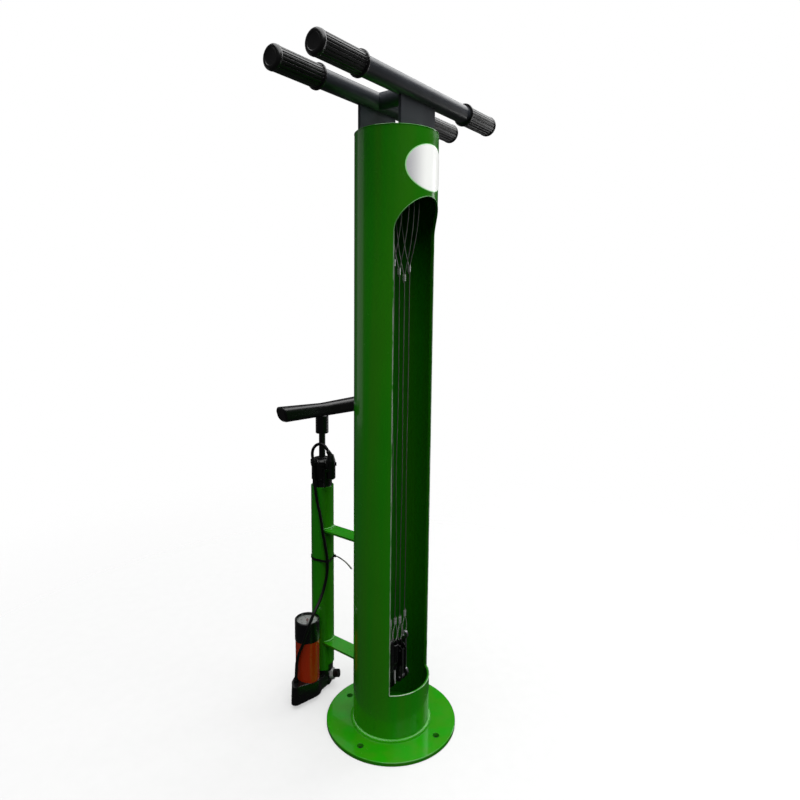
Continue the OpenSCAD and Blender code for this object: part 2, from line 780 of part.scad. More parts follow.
// Head with its valve port pointing down and two ears for the lever's pin
module pump_head() {
    ear_y = head_r + lever_t;
    ear_in = lever_w / 2 + clear;
    color(plastic_black) at_head(head_bottom) difference() {
        union() {
            rotate_extrude() polygon([
                [0, 0], [head_r - 2 * edge, 0], [head_r, 2 * edge], [head_r, head_h - head_shoulder],
                [head_neck_r, head_h], [0, head_h]]);
            for (x = [-ear_in - 2 * edge, ear_in]) translate([x, -ear_y - lever_t, lever_rise - lever_t])
                cube([2 * edge, ear_y + lever_t, 2 * lever_t - edge]);
        }
        translate([0, 0, -over]) cylinder(r = port_r, h = port_h + over);
        translate([0, 0, head_h - head_nut_sink]) rotate(head_nut_azimuth - lever_azimuth - 90)
            rotate([0, head_nut_tilt, 0]) translate([0, 0, -fit])
                cylinder(r = head_nut_r + fit, h = head_nut_h);
        translate([0, -ear_y, lever_rise]) rotate([0, 90, 0])
            cylinder(r = lever_pin_r, h = 2 * head_r, center = true, $fn = 32);
    }
}

module head_seal() {
    color(rubber_black) at_head(head_bottom) ring(port_r - fit, port_r - 2 * edge, port_h - edge);
}

// Cam lever that hangs down along the head when it is stowed
module head_lever() {
    ear_y = head_r + lever_t;
    pin_reach = lever_w / 2 + clear + 2 * edge;
    color(plastic_black) at_head(head_bottom + lever_rise) translate([0, -ear_y, 0]) union() {
        rotate([0, 90, 0]) cylinder(r = lever_t / 2 + fit, h = lever_w, center = true);
        rotate([0, 90, 0]) cylinder(r = lever_pin_r - running, h = 2 * pin_reach, center = true, $fn = 32);
        rotate([0, -90, 0]) translate([0, 0, -lever_w / 2]) linear_extrude(lever_w) polygon([
            [0, -lever_t / 2], [0, lever_t / 2], [-lever_drop * 0.8, lever_t / 2],
            [-lever_drop, -lever_t / 4], [-lever_drop, -lever_t], [-lever_drop * 0.8, -lever_t / 2]]);
    }
}

// Cable tie that holds the hose against the sleeve; its long tail loops out and droops
module hose_tie() {
    tie_t = 1.2;
    tie_h = 4.8;
    tie_hose_at = [-17, -31];
    tail_azimuth = -60;
    tail_r = 80;
    tail_t = 1;
    inner_r = sleeve_r + fit;
    color(plastic_black) at_pump(tie_z) {
        translate([0, 0, -tie_h / 2]) linear_extrude(tie_h) difference() {
            hull() {
                circle(r = inner_r + tie_t, $fn = 48);
                translate(tie_hose_at) circle(r = hose_r + fit + tie_t, $fn = 24);
            }
            hull() {
                circle(r = inner_r, $fn = 48);
                translate(tie_hose_at) circle(r = hose_r + fit, $fn = 24);
            }
        }
        rotate(tail_azimuth) rotate([90, 0, 0]) linear_extrude(tie_h * 0.8, center = true) {
            translate([inner_r + tie_t / 2, -tie_h / 2]) square([tie_h, 1.2 * tie_h]);
            for (bend = [72, 74]) polygon(concat(
                arc(inner_r + tie_t - tail_r * cos(bend), tie_h / 2 - tail_r * sin(bend),
                    tail_r, bend, 34, 10),
                arc(inner_r + tie_t - tail_r * cos(bend), tie_h / 2 - tail_r * sin(bend),
                    tail_r - tail_t, 34, bend, 10)));
        }
    }
}

// Moving parts of the pump

module pump_rod() {
    color(steel_grey) at_pump(piston_z + piston_h - rod_socket)
        ring(rod_r, rod_r - rod_wall, rod_top - piston_z - piston_h + rod_socket);
}

module piston() {
    low = piston_z + (piston_h - groove_h) / 3;
    color(plastic_black) at_pump(0) rotate_extrude() polygon([
        [0, piston_z], [piston_r, piston_z], [piston_r, low], [piston_r - groove_depth, low],
        [piston_r - groove_depth, low + groove_h], [piston_r, low + groove_h],
        [piston_r, piston_z + piston_h],
        [rod_r + fit, piston_z + piston_h], [rod_r + fit, piston_z + piston_h - rod_socket],
        [0, piston_z + piston_h - rod_socket]]);
}

module piston_seal() {
    low = piston_z + (piston_h - groove_h) / 3;
    color(rubber_black) at_pump(low + fit)
        ring(barrel_bore_r - running, piston_r - groove_depth + fit, groove_h - 2 * fit);
}

// One disc of the handle's section, upright across X and tilted so that its top reaches further out
module handle_slice(x, depth, height, lift, slant) {
    corner_share = 0.36;
    corner = min(depth, height) * corner_share;
    translate([x, 0, lift]) rotate([0, slant, 0]) rotate([90, 0, 90]) linear_extrude(edge)
        hull() for (sx = [-1, 1], sy = [-1, 1])
            translate([sx * (depth / 2 - corner), sy * (height / 2 - corner)]) circle(r = corner, $fn = 32);
}

// T-handle: both halves swell towards slanted ends, on a round neck with a socket for the rod
module pump_handle() {
    end_slant = 17;
    end_inset = handle_end_h / 2 * sin(end_slant);
    reach = handle_len / 2 - end_inset;
    rise = (handle_end_h - handle_mid_h) / 2;
    end_share = 0.8;
    color(plastic_black) at_pump(0) rotate(handle_yaw) difference() {
        union() {
            for (side = [-1, 1]) translate([0, 0, handle_z]) scale([side, 1, 1]) hull() {
                handle_slice(0, handle_depth * 0.9, handle_mid_h, 0, 0);
                handle_slice(reach - 4 * edge, handle_end_depth, handle_end_h, rise, end_slant);
                handle_slice(reach - edge, handle_end_depth * end_share, handle_end_h * end_share,
                             rise, end_slant);
            }
            rotate_extrude() polygon([
                [0, neck_bottom], [neck_d / 2 - edge, neck_bottom], [neck_d / 2, neck_bottom + edge],
                [neck_d / 2, neck_bottom + neck_h + edge], [0, handle_z]]);
        }
        translate([0, 0, neck_bottom - over])
            cylinder(r = rod_r + running, h = rod_top - neck_bottom + over + fit);
    }
}

// Ropes: an eye over the bar, two ferrules and an eye through the tool

// Route of rope i from its upper tail, over the bar, down to the lower eye and back into its ferrule
function rope_route(i) =
    let (x = rope_x[i],
         top_z = bar_z + bar_r + rope_r + clear,
         drop = loop_drop * loop_drop_shares[i],
         top_factor = loop_half[i] / teardrop_share,
         upper_z = top_z - neck_z(drop, top_factor),
         lower_z = eye_z[i] + neck_z(eye_h, low_factor),
         wave = rope_wave * wave_shares[i],
         runs = 10)
    concat(
        [[x, bar_y + strand, upper_z - ferrule_h - rope_tail], [x, bar_y + strand, upper_z - ferrule_h]],
        [for (q = teardrop(drop, top_factor, 24)) [x, bar_y - q[0], top_z - q[1]]],
        [[x, bar_y - strand, upper_z - ferrule_h]],
        [for (k = [1 : runs - 1]) let (t = k / runs)
            [x - strand * t + wave * sin(720 * t) * sin(180 * t),
             bar_y - strand * (1 - t) + wave * sin(540 * t) * sin(180 * t),
             (upper_z - ferrule_h) * (1 - t) + (lower_z + ferrule_h) * t]],
        [[x - strand, bar_y, lower_z + ferrule_h]],
        [for (q = teardrop(eye_h, low_factor, 16)) [x + q[0], bar_y, eye_z[i] + q[1]]],
        [[x + strand, bar_y, lower_z + ferrule_h], [x + strand, bar_y, lower_z + ferrule_h + rope_tail]]);

module rope(i) { color(steel_grey) swept_tube(rope_route(i), rope_r, 8); }
module lever_rope() { rope(0); }
module driver_rope() { rope(1); }
module hex_rope() { rope(2); }
module wrench_rope() { rope(3); }

// Flat oval sleeve pressed over two strands that lie side by side along X
module ferrule() {
    difference() {
        hull() for (side = [-1, 1]) translate([side * strand, 0, 0])
            cylinder(r = rope_r + fit + ferrule_wall, h = ferrule_h, $fn = 32);
        hull() for (side = [-1, 1]) translate([side * strand, 0, -over])
            cylinder(r = rope_r + fit, h = ferrule_h + 2 * over, $fn = 32);
    }
}

module ferrules(i) {
    top_z = bar_z + bar_r + rope_r + clear;
    upper_z = top_z - neck_z(loop_drop * loop_drop_shares[i], loop_half[i] / teardrop_share);
    lower_z = eye_z[i] + neck_z(eye_h, low_factor);
    color(steel_grey) {
        translate([rope_x[i], bar_y, upper_z - ferrule_h]) rotate(90) ferrule();
        translate([rope_x[i], bar_y, lower_z]) ferrule();
    }
}
module lever_ferrules() { ferrules(0); }
module driver_ferrules() { ferrules(1); }
module hex_ferrules() { ferrules(2); }
module wrench_ferrules() { ferrules(3); }

// Tools: each hangs from a hole across X

module at_tool(i) { translate([rope_x[i], bar_y, tool_bottom]) children(); }

// Plate lying across X from a drawing whose width runs along Y and height along Z
module tool_plate(t) {
    rotate([90, 0, 90]) translate([0, 0, -t / 2]) linear_extrude(t) children();
}

// Tab with the hanging hole, its top at height top
module hanging_tab(top, h) {
    tool_plate(tab_t) difference() {
        union() {
            translate([0, top - tab_w / 2]) circle(r = tab_w / 2);
            translate([-tab_w / 2, top - h]) square([tab_w, h - tab_w / 2]);
        }
        translate([0, top - tab_top - tab_hole_r]) circle(r = tab_hole_r, $fn = 32);
    }
}

// Tyre lever on one side of its rope's plane: spooned tip below, rounded head above
module tyre_lever(side) {
    half = lever_tool_w / 2;
    head_half = half * 0.8;
    tip = lever_len * 0.2;
    in = lever_gap / 2;
    mid = in + lever_tool_t / 2;
    color([0.08, 0.08, 0.09]) at_tool(0) scale([side, 1, 1]) intersection() {
        rotate([90, 0, 0]) linear_extrude(2 * lever_tool_w, center = true) polygon(concat(
            [[in, tip], [in, lever_len], [in + lever_tool_t, lever_len]],
            arc(in + 2 * lever_tool_t, tip, lever_tool_t, 180, 235, 4),
            [[in + 1.75 * lever_tool_t, 0], [in + lever_tool_t, 0]],
            arc(in + 2 * lever_tool_t, tip, 2 * lever_tool_t, 220, 180, 4)));
        translate([mid, 0, 0]) tool_plate(4 * lever_tool_t) difference() {
            hull() {
                translate([0, lever_len - head_half]) circle(r = head_half, $fn = 32);
                translate([0, half]) circle(r = half, $fn = 32);
            }
            translate([0, lever_len - tab_top - lever_hole_r]) circle(r = lever_hole_r, $fn = 32);
        }
    }
}
module tyre_lever_a() { tyre_lever(-1); }
module tyre_lever_b() { tyre_lever(1); }

// Screwdriver handle: turned grip with flutes and a flat hanging tab
module driver_handle() {
    r = driver_d / 2;
    low = driver_len - driver_tab_h - driver_handle_h;
    flutes = 6;
    color(plastic_black) at_tool(1) {
        difference() {
            translate([0, 0, low]) rotate_extrude() polygon(concat(
                [[0, 0], [r * 0.62, 0], [r * 0.75, edge], [r * 0.62, driver_handle_h * 0.16],
                 [r, driver_handle_h * 0.34]],
                arc(r - 2 * edge, driver_handle_h - 2 * edge, 2 * edge, 0, 90, 4), [[0, driver_handle_h]]));
            for (i = [0 : flutes - 1]) rotate(360 * i / flutes)
                translate([r * 1.12, 0, low + driver_handle_h * 0.3])
                    cylinder(r = r * 0.3, h = driver_handle_h * 0.58, $fn = 24);
            translate([0, 0, low - over]) cylinder(r = blade_r + fit, h = driver_handle_h * 0.4 + over);
        }
        hanging_tab(driver_len, driver_tab_h);
    }
}

module driver_blade() {
    low = driver_len - driver_tab_h - driver_handle_h;
    tip_h = 9;
    tip_t = 0.9;
    color(steel_grey) at_tool(1) intersection() {
        cylinder(r = blade_r, h = low + driver_handle_h * 0.4 - fit);
        rotate([90, 0, 0]) linear_extrude(4 * blade_r, center = true) polygon([
            [-tip_t / 2, 0], [tip_t / 2, 0], [blade_r + over, tip_h],
            [blade_r + over, driver_len], [-blade_r - over, driver_len], [-blade_r - over, tip_h]]);
    }
}

// Folding holder: two cheeks joined by a spine, keys on both sides of it
module hex_holder() {
    body = holder_len - holder_tab_h;
    color(plastic_black) at_tool(2) difference() {
        union() {
            for (side = [-1, 1]) translate([side * (holder_t - holder_plate_t) / 2, 0, 0])
                tool_plate(holder_plate_t) union() {
                    translate([0, holder_w / 2]) circle(r = holder_w / 2);
                    translate([0, body - holder_w / 2]) circle(r = holder_w / 2);
                    translate([-holder_w / 2, holder_w / 2]) square([holder_w, body - holder_w]);
                }
            translate([-holder_t / 2 + edge, -spine_t / 2, holder_w / 2])
                cube([holder_t - 2 * edge, spine_t, body - holder_w / 2 + edge]);
            hanging_tab(holder_len, holder_tab_h);
        }
        for (z = [holder_w / 2, body - holder_w / 2], side = [-1, 1])
            translate([0, side * (holder_w / 4 + spine_t / 4), z]) rotate([0, 90, 0])
                cylinder(r = hex_pin_r + fit, h = 2 * holder_t, center = true, $fn = 32);
    }
}

// Place of key k across the holder, on one side of the spine
function key_x(keys, k) =
    -(holder_t / 2 - holder_plate_t) + key_gap + (k == 0 ? 0 : keys[0] + key_gap
    + (k == 1 ? 0 : keys[1] + key_gap)) + keys[k] / 2;

module hex_keys() {
    body = holder_len - holder_tab_h;
    reach = body - holder_w;
    sides_of_spine = [[key_af[0], key_af[1]], [key_af[2], key_af[3], key_af[4]]];
    color(steel_grey) at_tool(2) for (row = [0, 1], k = [0 : len(sides_of_spine[row]) - 1]) {
        af = sides_of_spine[row][k];
        flip = row == 0 ? 1 : -1;
        pin_z = row == 0 ? holder_w / 2 : body - holder_w / 2;
        translate([key_x(sides_of_spine[row], k), flip * -(holder_w / 4 + spine_t / 4), pin_z]) {
            rotate([0, 90, 0]) difference() {
                cylinder(r = holder_w / 4 - spine_t / 4 - fit, h = af - fit, center = true);
                cylinder(r = hex_pin_r + fit, h = af + 2 * over, center = true, $fn = 32);
            }
            scale([1, 1, flip]) translate([0, 0, holder_w / 4 - spine_t / 4 - edge]) rotate(30)
                cylinder(r = min(af, holder_w / 2 - spine_t) / sqrt(3), h = reach - holder_w / 4, $fn = 6);
        }
    }
}

module hex_pins() {
    body = holder_len - holder_tab_h;
    color(steel_grey) at_tool(2) for (row = [0, 1])
        translate([0, (2 * row - 1) * (holder_w / 4 + spine_t / 4),
                   row == 0 ? holder_w / 2 : body - holder_w / 2])
            rotate([0, 90, 0]) cylinder(r = hex_pin_r, h = holder_t, center = true, $fn = 32);
}

// Combination wrench: ring at the top, open jaw at the bottom
module wrench() {
    ring_z = wrench_len - ring_r;
    color(steel_grey) at_tool(3) tool_plate(wrench_t) difference() {
        union() {
            translate([0, ring_z]) circle(r = ring_r, $fn = 48);
            translate([0, jaw_r]) circle(r = jaw_r, $fn = 48);
            hull() {
                translate([0, ring_z - ring_r / 2]) circle(r = wrench_shank_w / 2, $fn = 24);
                translate([0, jaw_r * 1.5]) circle(r = wrench_shank_w * 0.6, $fn = 24);
            }
        }
        translate([0, ring_z]) circle(r = ring_bore_r, $fn = 12);
        translate([0, jaw_r]) rotate(jaw_angle) {
            translate([-jaw_w / 2, -2 * jaw_r]) square([jaw_w, 2 * jaw_r]);
            circle(r = jaw_w / 2, $fn = 6);
        }
    }
}

base_flange();
base_weld();
column();
closing_plate();
front_post();
rear_post();
front_arm();
rear_arm();
arm_tie();
front_left_grip();
front_right_grip();
rear_left_grip();
rear_right_grip();
rope_bar();
upper_bracket();
lower_bracket();
pump_sleeve();
pump_barrel();
pump_top_cap();
rod_bush();
hose_clip();
pump_foot();
air_canister();
gauge_housing();
gauge_dial();
gauge_lens();
gauge_needle();
relief_valve();
relief_cap();
hose_nut();
hose();
head_nut();
pump_head();
head_seal();
head_lever();
hose_tie();
pump_rod();
piston();
piston_seal();
pump_handle();
lever_rope();
driver_rope();
hex_rope();
wrench_rope();
lever_ferrules();
driver_ferrules();
hex_ferrules();
wrench_ferrules();
tyre_lever_a();
tyre_lever_b();
driver_handle();
driver_blade();
hex_holder();
hex_keys();
hex_pins();
wrench();
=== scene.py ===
"""Studio scene of a bicycle repair station, built round its packed CAD model.

Every piece is a surface worked out with numpy in metres, in the frame of the CAD model: +Z up along
the column, the tool opening towards -Y, the arms along X and the pump behind the column at +Y.
"""
import json
import math

import bmesh
import bpy
import numpy as np
from bpy.props import FloatProperty, FloatVectorProperty, IntProperty, PointerProperty
from mathutils import Matrix, Vector


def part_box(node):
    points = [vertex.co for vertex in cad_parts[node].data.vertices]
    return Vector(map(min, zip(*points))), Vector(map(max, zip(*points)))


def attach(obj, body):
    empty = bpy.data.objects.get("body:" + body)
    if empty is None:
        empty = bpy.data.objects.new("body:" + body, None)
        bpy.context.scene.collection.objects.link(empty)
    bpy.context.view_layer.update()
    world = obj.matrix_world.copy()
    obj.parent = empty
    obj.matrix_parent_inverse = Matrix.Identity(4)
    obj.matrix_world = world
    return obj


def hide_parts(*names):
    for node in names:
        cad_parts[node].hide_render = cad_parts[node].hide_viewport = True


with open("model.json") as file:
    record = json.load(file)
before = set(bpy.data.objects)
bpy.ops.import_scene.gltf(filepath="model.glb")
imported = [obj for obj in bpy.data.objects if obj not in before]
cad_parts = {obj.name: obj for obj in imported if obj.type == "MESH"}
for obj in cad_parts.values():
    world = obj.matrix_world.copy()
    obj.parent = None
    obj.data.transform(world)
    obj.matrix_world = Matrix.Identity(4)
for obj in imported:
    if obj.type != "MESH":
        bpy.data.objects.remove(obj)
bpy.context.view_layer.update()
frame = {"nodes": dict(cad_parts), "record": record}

bl_info = {
    "name": "Bicycle repair station",
    "version": (1, 0, 0),
    "blender": (4, 5, 0),
    "location": "3D View > Sidebar > Station",
    "description": "Dresses the station's CAD frame with ropes, hose, welds, label and finishes",
    "category": "Object",
}

MM = 0.001
TURN = 2 * math.pi
PUMP = np.array([0, 209.5, 0]) * MM


# ---- sizes and colours

class StationCoat(bpy.types.PropertyGroup):
    """Colours of the painted, moulded and plated finishes."""
    green: FloatVectorProperty(name="Green coat", description="Coat of column, base and sleeve",
                               subtype="COLOR", default=(0.027, 0.35, 0.0012), min=0, max=1)
    graphite: FloatVectorProperty(name="Graphite coat", description="Coat of arms and posts",
                                  subtype="COLOR", default=(0.05, 0.056, 0.068), min=0, max=1)
    orange: FloatVectorProperty(name="Orange enamel", description="Enamel of the air canister",
                                subtype="COLOR", default=(0.62, 0.04, 0.004), min=0, max=1)
    label: FloatVectorProperty(name="Label film", description="Bare film of the oval label",
                               subtype="COLOR", default=(0.86, 0.86, 0.86), min=0, max=1)


class StationRopes(bpy.types.PropertyGroup):
    """Sizes of the steel ropes that carry the tools."""
    diameter: FloatProperty(name="Rope diameter", description="Outside of the stranded rope",
                            unit="LENGTH", default=2 * MM, min=0.5 * MM)
    lay: FloatProperty(name="Lay length", description="Length in which a strand goes once round",
                       unit="LENGTH", default=14 * MM, min=4 * MM)
    strands: IntProperty(name="Strands", description="Outer strands of a rope",
                         default=6, min=3, max=12)


class StationHose(bpy.types.PropertyGroup):
    """Sizes of the pump's hose."""
    diameter: FloatProperty(name="Hose diameter", description="Outside of the hose",
                            unit="LENGTH", default=7 * MM, min=2 * MM)


class StationEdges(bpy.types.PropertyGroup):
    """Cut edges of the column."""
    opening: FloatProperty(name="Opening width", description="Width of the tool opening",
                           unit="LENGTH", default=137.8 * MM, min=50 * MM)
    sill: FloatProperty(name="Sill", description="Height of the opening's lower edge",
                        unit="LENGTH", default=111 * MM, min=20 * MM)
    arch_top: FloatProperty(name="Arch top", description="Height of the opening's highest point",
                            unit="LENGTH", default=1131 * MM, min=0.2)
    lip: FloatProperty(name="Lip radius", description="Radius of the rounded coat along a cut edge",
                       unit="LENGTH", default=1.1 * MM, min=0.2 * MM)


class StationGrips(bpy.types.PropertyGroup):
    """Grooves of the rubber grips."""
    grooves: IntProperty(name="Grooves", description="Grooves round each grip",
                         default=20, min=6, max=40)
    groove: FloatProperty(name="Groove depth", description="Depth of a groove",
                          unit="LENGTH", default=1.2 * MM, min=0.1 * MM)


class StationWelds(bpy.types.PropertyGroup):
    """Sizes of the weld beads."""
    base_leg: FloatProperty(name="Base bead", description="Leg of the bead round the column's foot",
                            unit="LENGTH", default=6 * MM, min=2 * MM)
    bracket_leg: FloatProperty(name="Bracket bead", description="Leg of the beads on the brackets",
                               unit="LENGTH", default=3.4 * MM, min=1 * MM)
    ripple: FloatProperty(name="Ripple pitch", description="Length from one ripple to the next",
                          unit="LENGTH", default=3.1 * MM, min=1 * MM)


class StationLabel(bpy.types.PropertyGroup):
    """Sizes of the bare oval label."""
    width: FloatProperty(name="Label width", description="Length of the label round the column",
                         unit="LENGTH", default=123 * MM, min=20 * MM)
    height: FloatProperty(name="Label height", description="Height of the label",
                          unit="LENGTH", default=88 * MM, min=20 * MM)
    middle: FloatProperty(name="Label middle", description="Height of the label's middle",
                          unit="LENGTH", default=1184 * MM, min=0.1)
    dome: FloatProperty(name="Label dome", description="Thickness of the clear domed film",
                        unit="LENGTH", default=0.9 * MM, min=0.1 * MM)


class StationStage(bpy.types.PropertyGroup):
    """Camera, floor and lights."""
    lens: FloatProperty(name="Lens", description="Focal length of the camera", unit="CAMERA",
                        default=26.783, min=5)
    camera_at: FloatVectorProperty(name="Camera place", description="Where the camera stands",
                                   subtype="XYZ", unit="LENGTH", default=(-0.9852, -0.7445, 0.9272))
    shift: FloatVectorProperty(name="Camera shift", description="Shift as a share of the frame",
                               size=2, default=(0.0139, -0.0281))
    floor_radius: FloatProperty(name="Floor radius", description="Reach of the pale floor",
                                unit="LENGTH", default=5.0, min=1)


SETTINGS = {
    "station_coat": StationCoat,
    "station_ropes": StationRopes,
    "station_hose": StationHose,
    "station_edges": StationEdges,
    "station_grips": StationGrips,
    "station_welds": StationWelds,
    "station_label": StationLabel,
    "station_stage": StationStage,
}


# ---- surfaces

def smooth_line(points, steps):
    """Catmull-Rom line through points. From b to c, between a and d, it is half of
    2b + (c - a) t + (2a - 5b + 4c - d) t^2 + (3b - a - 3c + d) t^3, for t from 0 to 1."""
    p = np.vstack([points[:1], points, points[-1:]])[:, None]
    a, b, c, d = p[:-3], p[1:-2], p[2:-1], p[3:]
    t = np.arange(steps)[:, None] / steps
    line = 0.5 * (2 * b + (c - a) * t + (2 * a - 5 * b + 4 * c - d) * t**2
                  + (3 * b - a - 3 * c + d) * t**3)
    return np.vstack([line.reshape(-1, 3), points[-1:]])


def run_length(line):
    """Distance along a line at each of its points: the running sum of its steps' lengths."""
    return np.concatenate([[0], np.cumsum(np.linalg.norm(np.diff(line, axis=0), axis=1))])


def even_line(line, step):
    """The same line with points at equal distances, each coordinate read off at its run length."""
    along = run_length(line)
    at = np.linspace(0, along[-1], max(int(round(along[-1] / step)), 2) + 1)
    return np.stack([np.interp(at, along, line[:, k]) for k in range(3)], axis=1)


def unit(v):
    """Vectors divided by their own lengths."""
    return v / np.linalg.norm(v, axis=-1, keepdims=True)


def carried(line, outline, reference):
    """An outline carried along a line: point + u * side + v * lift, where side is the reference
    direction with its part along the line taken away, and lift is the line's heading crossed with
    side. The outline and the reference are one for the whole line or one for each point."""
    heading = unit(np.gradient(line, axis=0))
    reference = np.broadcast_to(np.asarray(reference, float), line.shape)
    side = unit(reference - (reference * heading).sum(1, keepdims=True) * heading)
    lift = np.cross(heading, side)
    outline = np.broadcast_to(outline, (len(line),) + np.shape(outline)[-2:])
    return line[:, None] + outline[..., :1] * side[:, None] + outline[..., 1:] * lift[:, None]


def round_outline(radius, sides):
    """Circle: radius * (cos a, sin a), with a from 0 to a full turn in equal steps."""
    a = np.arange(sides) * TURN / sides
    return np.stack([radius * np.cos(a), radius * np.sin(a)], axis=-1)


def grid_faces(rings, sides, closed=False):
    """Quads of a grid: each joins a point to its neighbours in the next ring and the next place
    round. In a closed one the last ring is joined to the first."""
    q, k = np.arange(rings if closed else rings - 1)[:, None] * sides, np.arange(sides)
    p, n = (q + sides) % (rings * sides), (k + 1) % sides
    return np.stack([q + k, q + n, p + n, p + k], axis=-1).reshape(-1, 4)


def closed_tube(grid):
    """Points and faces of a tube from its rings, closed by a fan round each end's mean point."""
    rings, sides = grid.shape[:2]
    points = np.vstack([grid.reshape(-1, 3), grid[0].mean(0), grid[-1].mean(0)])
    k, hub, end = np.arange(sides), np.full(sides, rings * sides), (rings - 1) * sides
    n = (k + 1) % sides
    fans = np.vstack([np.stack([k, hub, n], 1), np.stack([end + k, end + n, hub + 1], 1)])
    return points, [grid_faces(rings, sides), fans]


def closed_ring(grid):
    """Points and faces of a tube that closes on itself."""
    return grid.reshape(-1, 3), [grid_faces(*grid.shape[:2], closed=True)]


def volume_sign(points, faces):
    """Sum over triangles of a . (b x c): positive where faces look outwards."""
    total = 0.0
    for block in faces:
        a = points[block[:, 0]]
        for k in range(1, block.shape[1] - 1):
            total += np.einsum("ij,ij->", a, np.cross(points[block[:, k]], points[block[:, k + 1]]))
    return total


def make_piece(name, parts, material, body, crease=40):
    """A mesh piece from closed parts, each a pair of points and blocks of faces, turned outwards,
    smooth apart from creases sharper than the given angle, riding on a body."""
    corners, indices, sizes, start = [], [], [], 0
    for points, blocks in parts:
        flip = volume_sign(points - points.mean(0), blocks) < 0
        for block in blocks:
            block = block[:, ::-1] if flip else block
            indices.append((block + start).ravel())
            sizes.append(np.full(len(block), block.shape[1]))
        corners.append(points)
        start += len(points)
    corners, indices, sizes = np.vstack(corners), np.concatenate(indices), np.concatenate(sizes)
    mesh = bpy.data.meshes.new(name)
    mesh.vertices.add(len(corners))
    mesh.vertices.foreach_set("co", corners.astype(np.float32).ravel())
    mesh.loops.add(len(indices))
    mesh.loops.foreach_set("vertex_index", indices.astype(np.int32))
    mesh.polygons.add(len(sizes))
    starts = np.concatenate([[0], np.cumsum(sizes)[:-1]])
    mesh.polygons.foreach_set("loop_start", starts.astype(np.int32))
    mesh.polygons.foreach_set("loop_total", sizes.astype(np.int32))
    mesh.polygons.foreach_set("use_smooth", np.ones(len(sizes), bool))
    mesh.update(calc_edges=True)
    if mesh.validate():
        raise RuntimeError(f"{name} had faces that don't hold")
    mesh.set_sharp_from_angle(angle=math.radians(crease))
    mesh.materials.append(material)
    piece = bpy.data.objects.new(name, mesh)
    bpy.context.scene.collection.objects.link(piece)
    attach(piece, body)
    return piece


# ---- shader maths

def maths(operation, swapped=False):
    """An operator's method: it adds a Math node for a value and another value or a number."""
    def method(self, other):
        a, b = (other, self) if swapped else (self, other)
        return self.finish.node("ShaderNodeMath", {"operation": operation}, {0: a, 1: b})
    return method


class Value:
    """A node's output in an expression: + - * and ** add Math nodes."""

    def __init__(self, finish, socket):
        self.finish, self.socket = finish, socket

    __add__ = __radd__ = maths("ADD")
    __sub__, __rsub__ = maths("SUBTRACT"), maths("SUBTRACT", swapped=True)
    __mul__ = __rmul__ = maths("MULTIPLY")
    __pow__ = maths("POWER")


class Finish:
    """A material in the making: node() adds any node, the others the few that every finish uses.
    Its constants are the shader's own sockets, by name."""

    def __init__(self, name, **constants):
        self.material = bpy.data.materials.new(name)
        self.material.use_nodes = True
        self.tree = self.material.node_tree
        self.shader = self.tree.nodes["Principled BSDF"]
        for socket, value in constants.items():
            self.socket(socket).default_value = value

    def socket(self, name):
        """The shader's socket that a name such as specular_ior_level stands for."""
        return self.shader.inputs[name.replace("_", " ").title().replace("Ior", "IOR")]

    def node(self, kind, settings=None, sockets=None, output=0):
        """A node with its settings, then values or links on its sockets; gives one output."""
        made = self.tree.nodes.new(kind)
        for key, value in (settings or {}).items():
            setattr(made, key, value)
        for key, value in (sockets or {}).items():
            if isinstance(value, Value):
                self.tree.links.new(value.socket, made.inputs[key])
            else:
                made.inputs[key].default_value = value
        return Value(self, made.outputs[output])

    def place(self):
        """Object coordinates, in metres."""
        return self.node("ShaderNodeTexCoord", output="Object")

    def part(self, vector, axis):
        """One coordinate of a vector: 0, 1 or 2."""
        return self.node("ShaderNodeSeparateXYZ", None, {0: vector}, output=axis)

    def from_axis(self, vector, beside=0.0):
        """Level distance from an upright line that stands on the Y axis at beside."""
        level = self.node("ShaderNodeVectorMath", {"operation": "MULTIPLY_ADD"},
                          {0: vector, 1: (1, 1, 0), 2: (0, -beside, 0)})
        return self.node("ShaderNodeVectorMath", {"operation": "LENGTH"}, {0: level},
                         output="Value")

    def drawn(self, vector, lengthwise):
        """A vector whose Z is scaled, which draws a pattern out along Z, or closes it up."""
        return self.node("ShaderNodeMapping", None,
                         {"Vector": vector, "Scale": (1.0, 1.0, lengthwise)})

    def noise(self, vector, scale, detail=2.0, roughness=0.5):
        """Cloudy noise about 0.5, with scale in patches to the metre."""
        return self.node("ShaderNodeTexNoise", None,
                         {"Vector": vector, "Scale": scale, "Detail": detail,
                          "Roughness": roughness})

    def ramp(self, value, low, high):
        """0 below low, 1 above high, eased between."""
        return self.node("ShaderNodeMapRange", {"interpolation_type": "SMOOTHSTEP"},
                         {"Value": value, "From Min": low, "From Max": high})

    def mix(self, share, a, b):
        """Colour a where share is 0, colour b where it is 1."""
        a, b = ((*c, 1.0) if isinstance(c, tuple) and len(c) == 3 else c for c in (a, b))
        return self.node("ShaderNodeMix", {"data_type": "RGBA"}, {0: share, 6: a, 7: b}, output=2)

    def soft_edge(self, radius):
        """The surface's direction, turned round gently within a radius of every edge."""
        return self.node("ShaderNodeBevel", {"samples": 4}, {"Radius": radius})

    def bump(self, height, distance, strength, under=None):
        """The surface's direction, tilted by a height, on top of another direction if given."""
        sockets = {"Height": height, "Distance": distance, "Strength": strength}
        if under is not None:
            sockets["Normal"] = under
        return self.node("ShaderNodeBump", None, sockets)

    def set(self, **links):
        """Links values to the shader's sockets and gives the finished material."""
        for socket, value in links.items():
            self.tree.links.new(value.socket, self.socket(socket))
        return self.material


def shade(colour, factor):
    """A colour made darker or lighter by a factor, kept under 1."""
    return tuple(min(c * factor, 1.0) for c in colour)


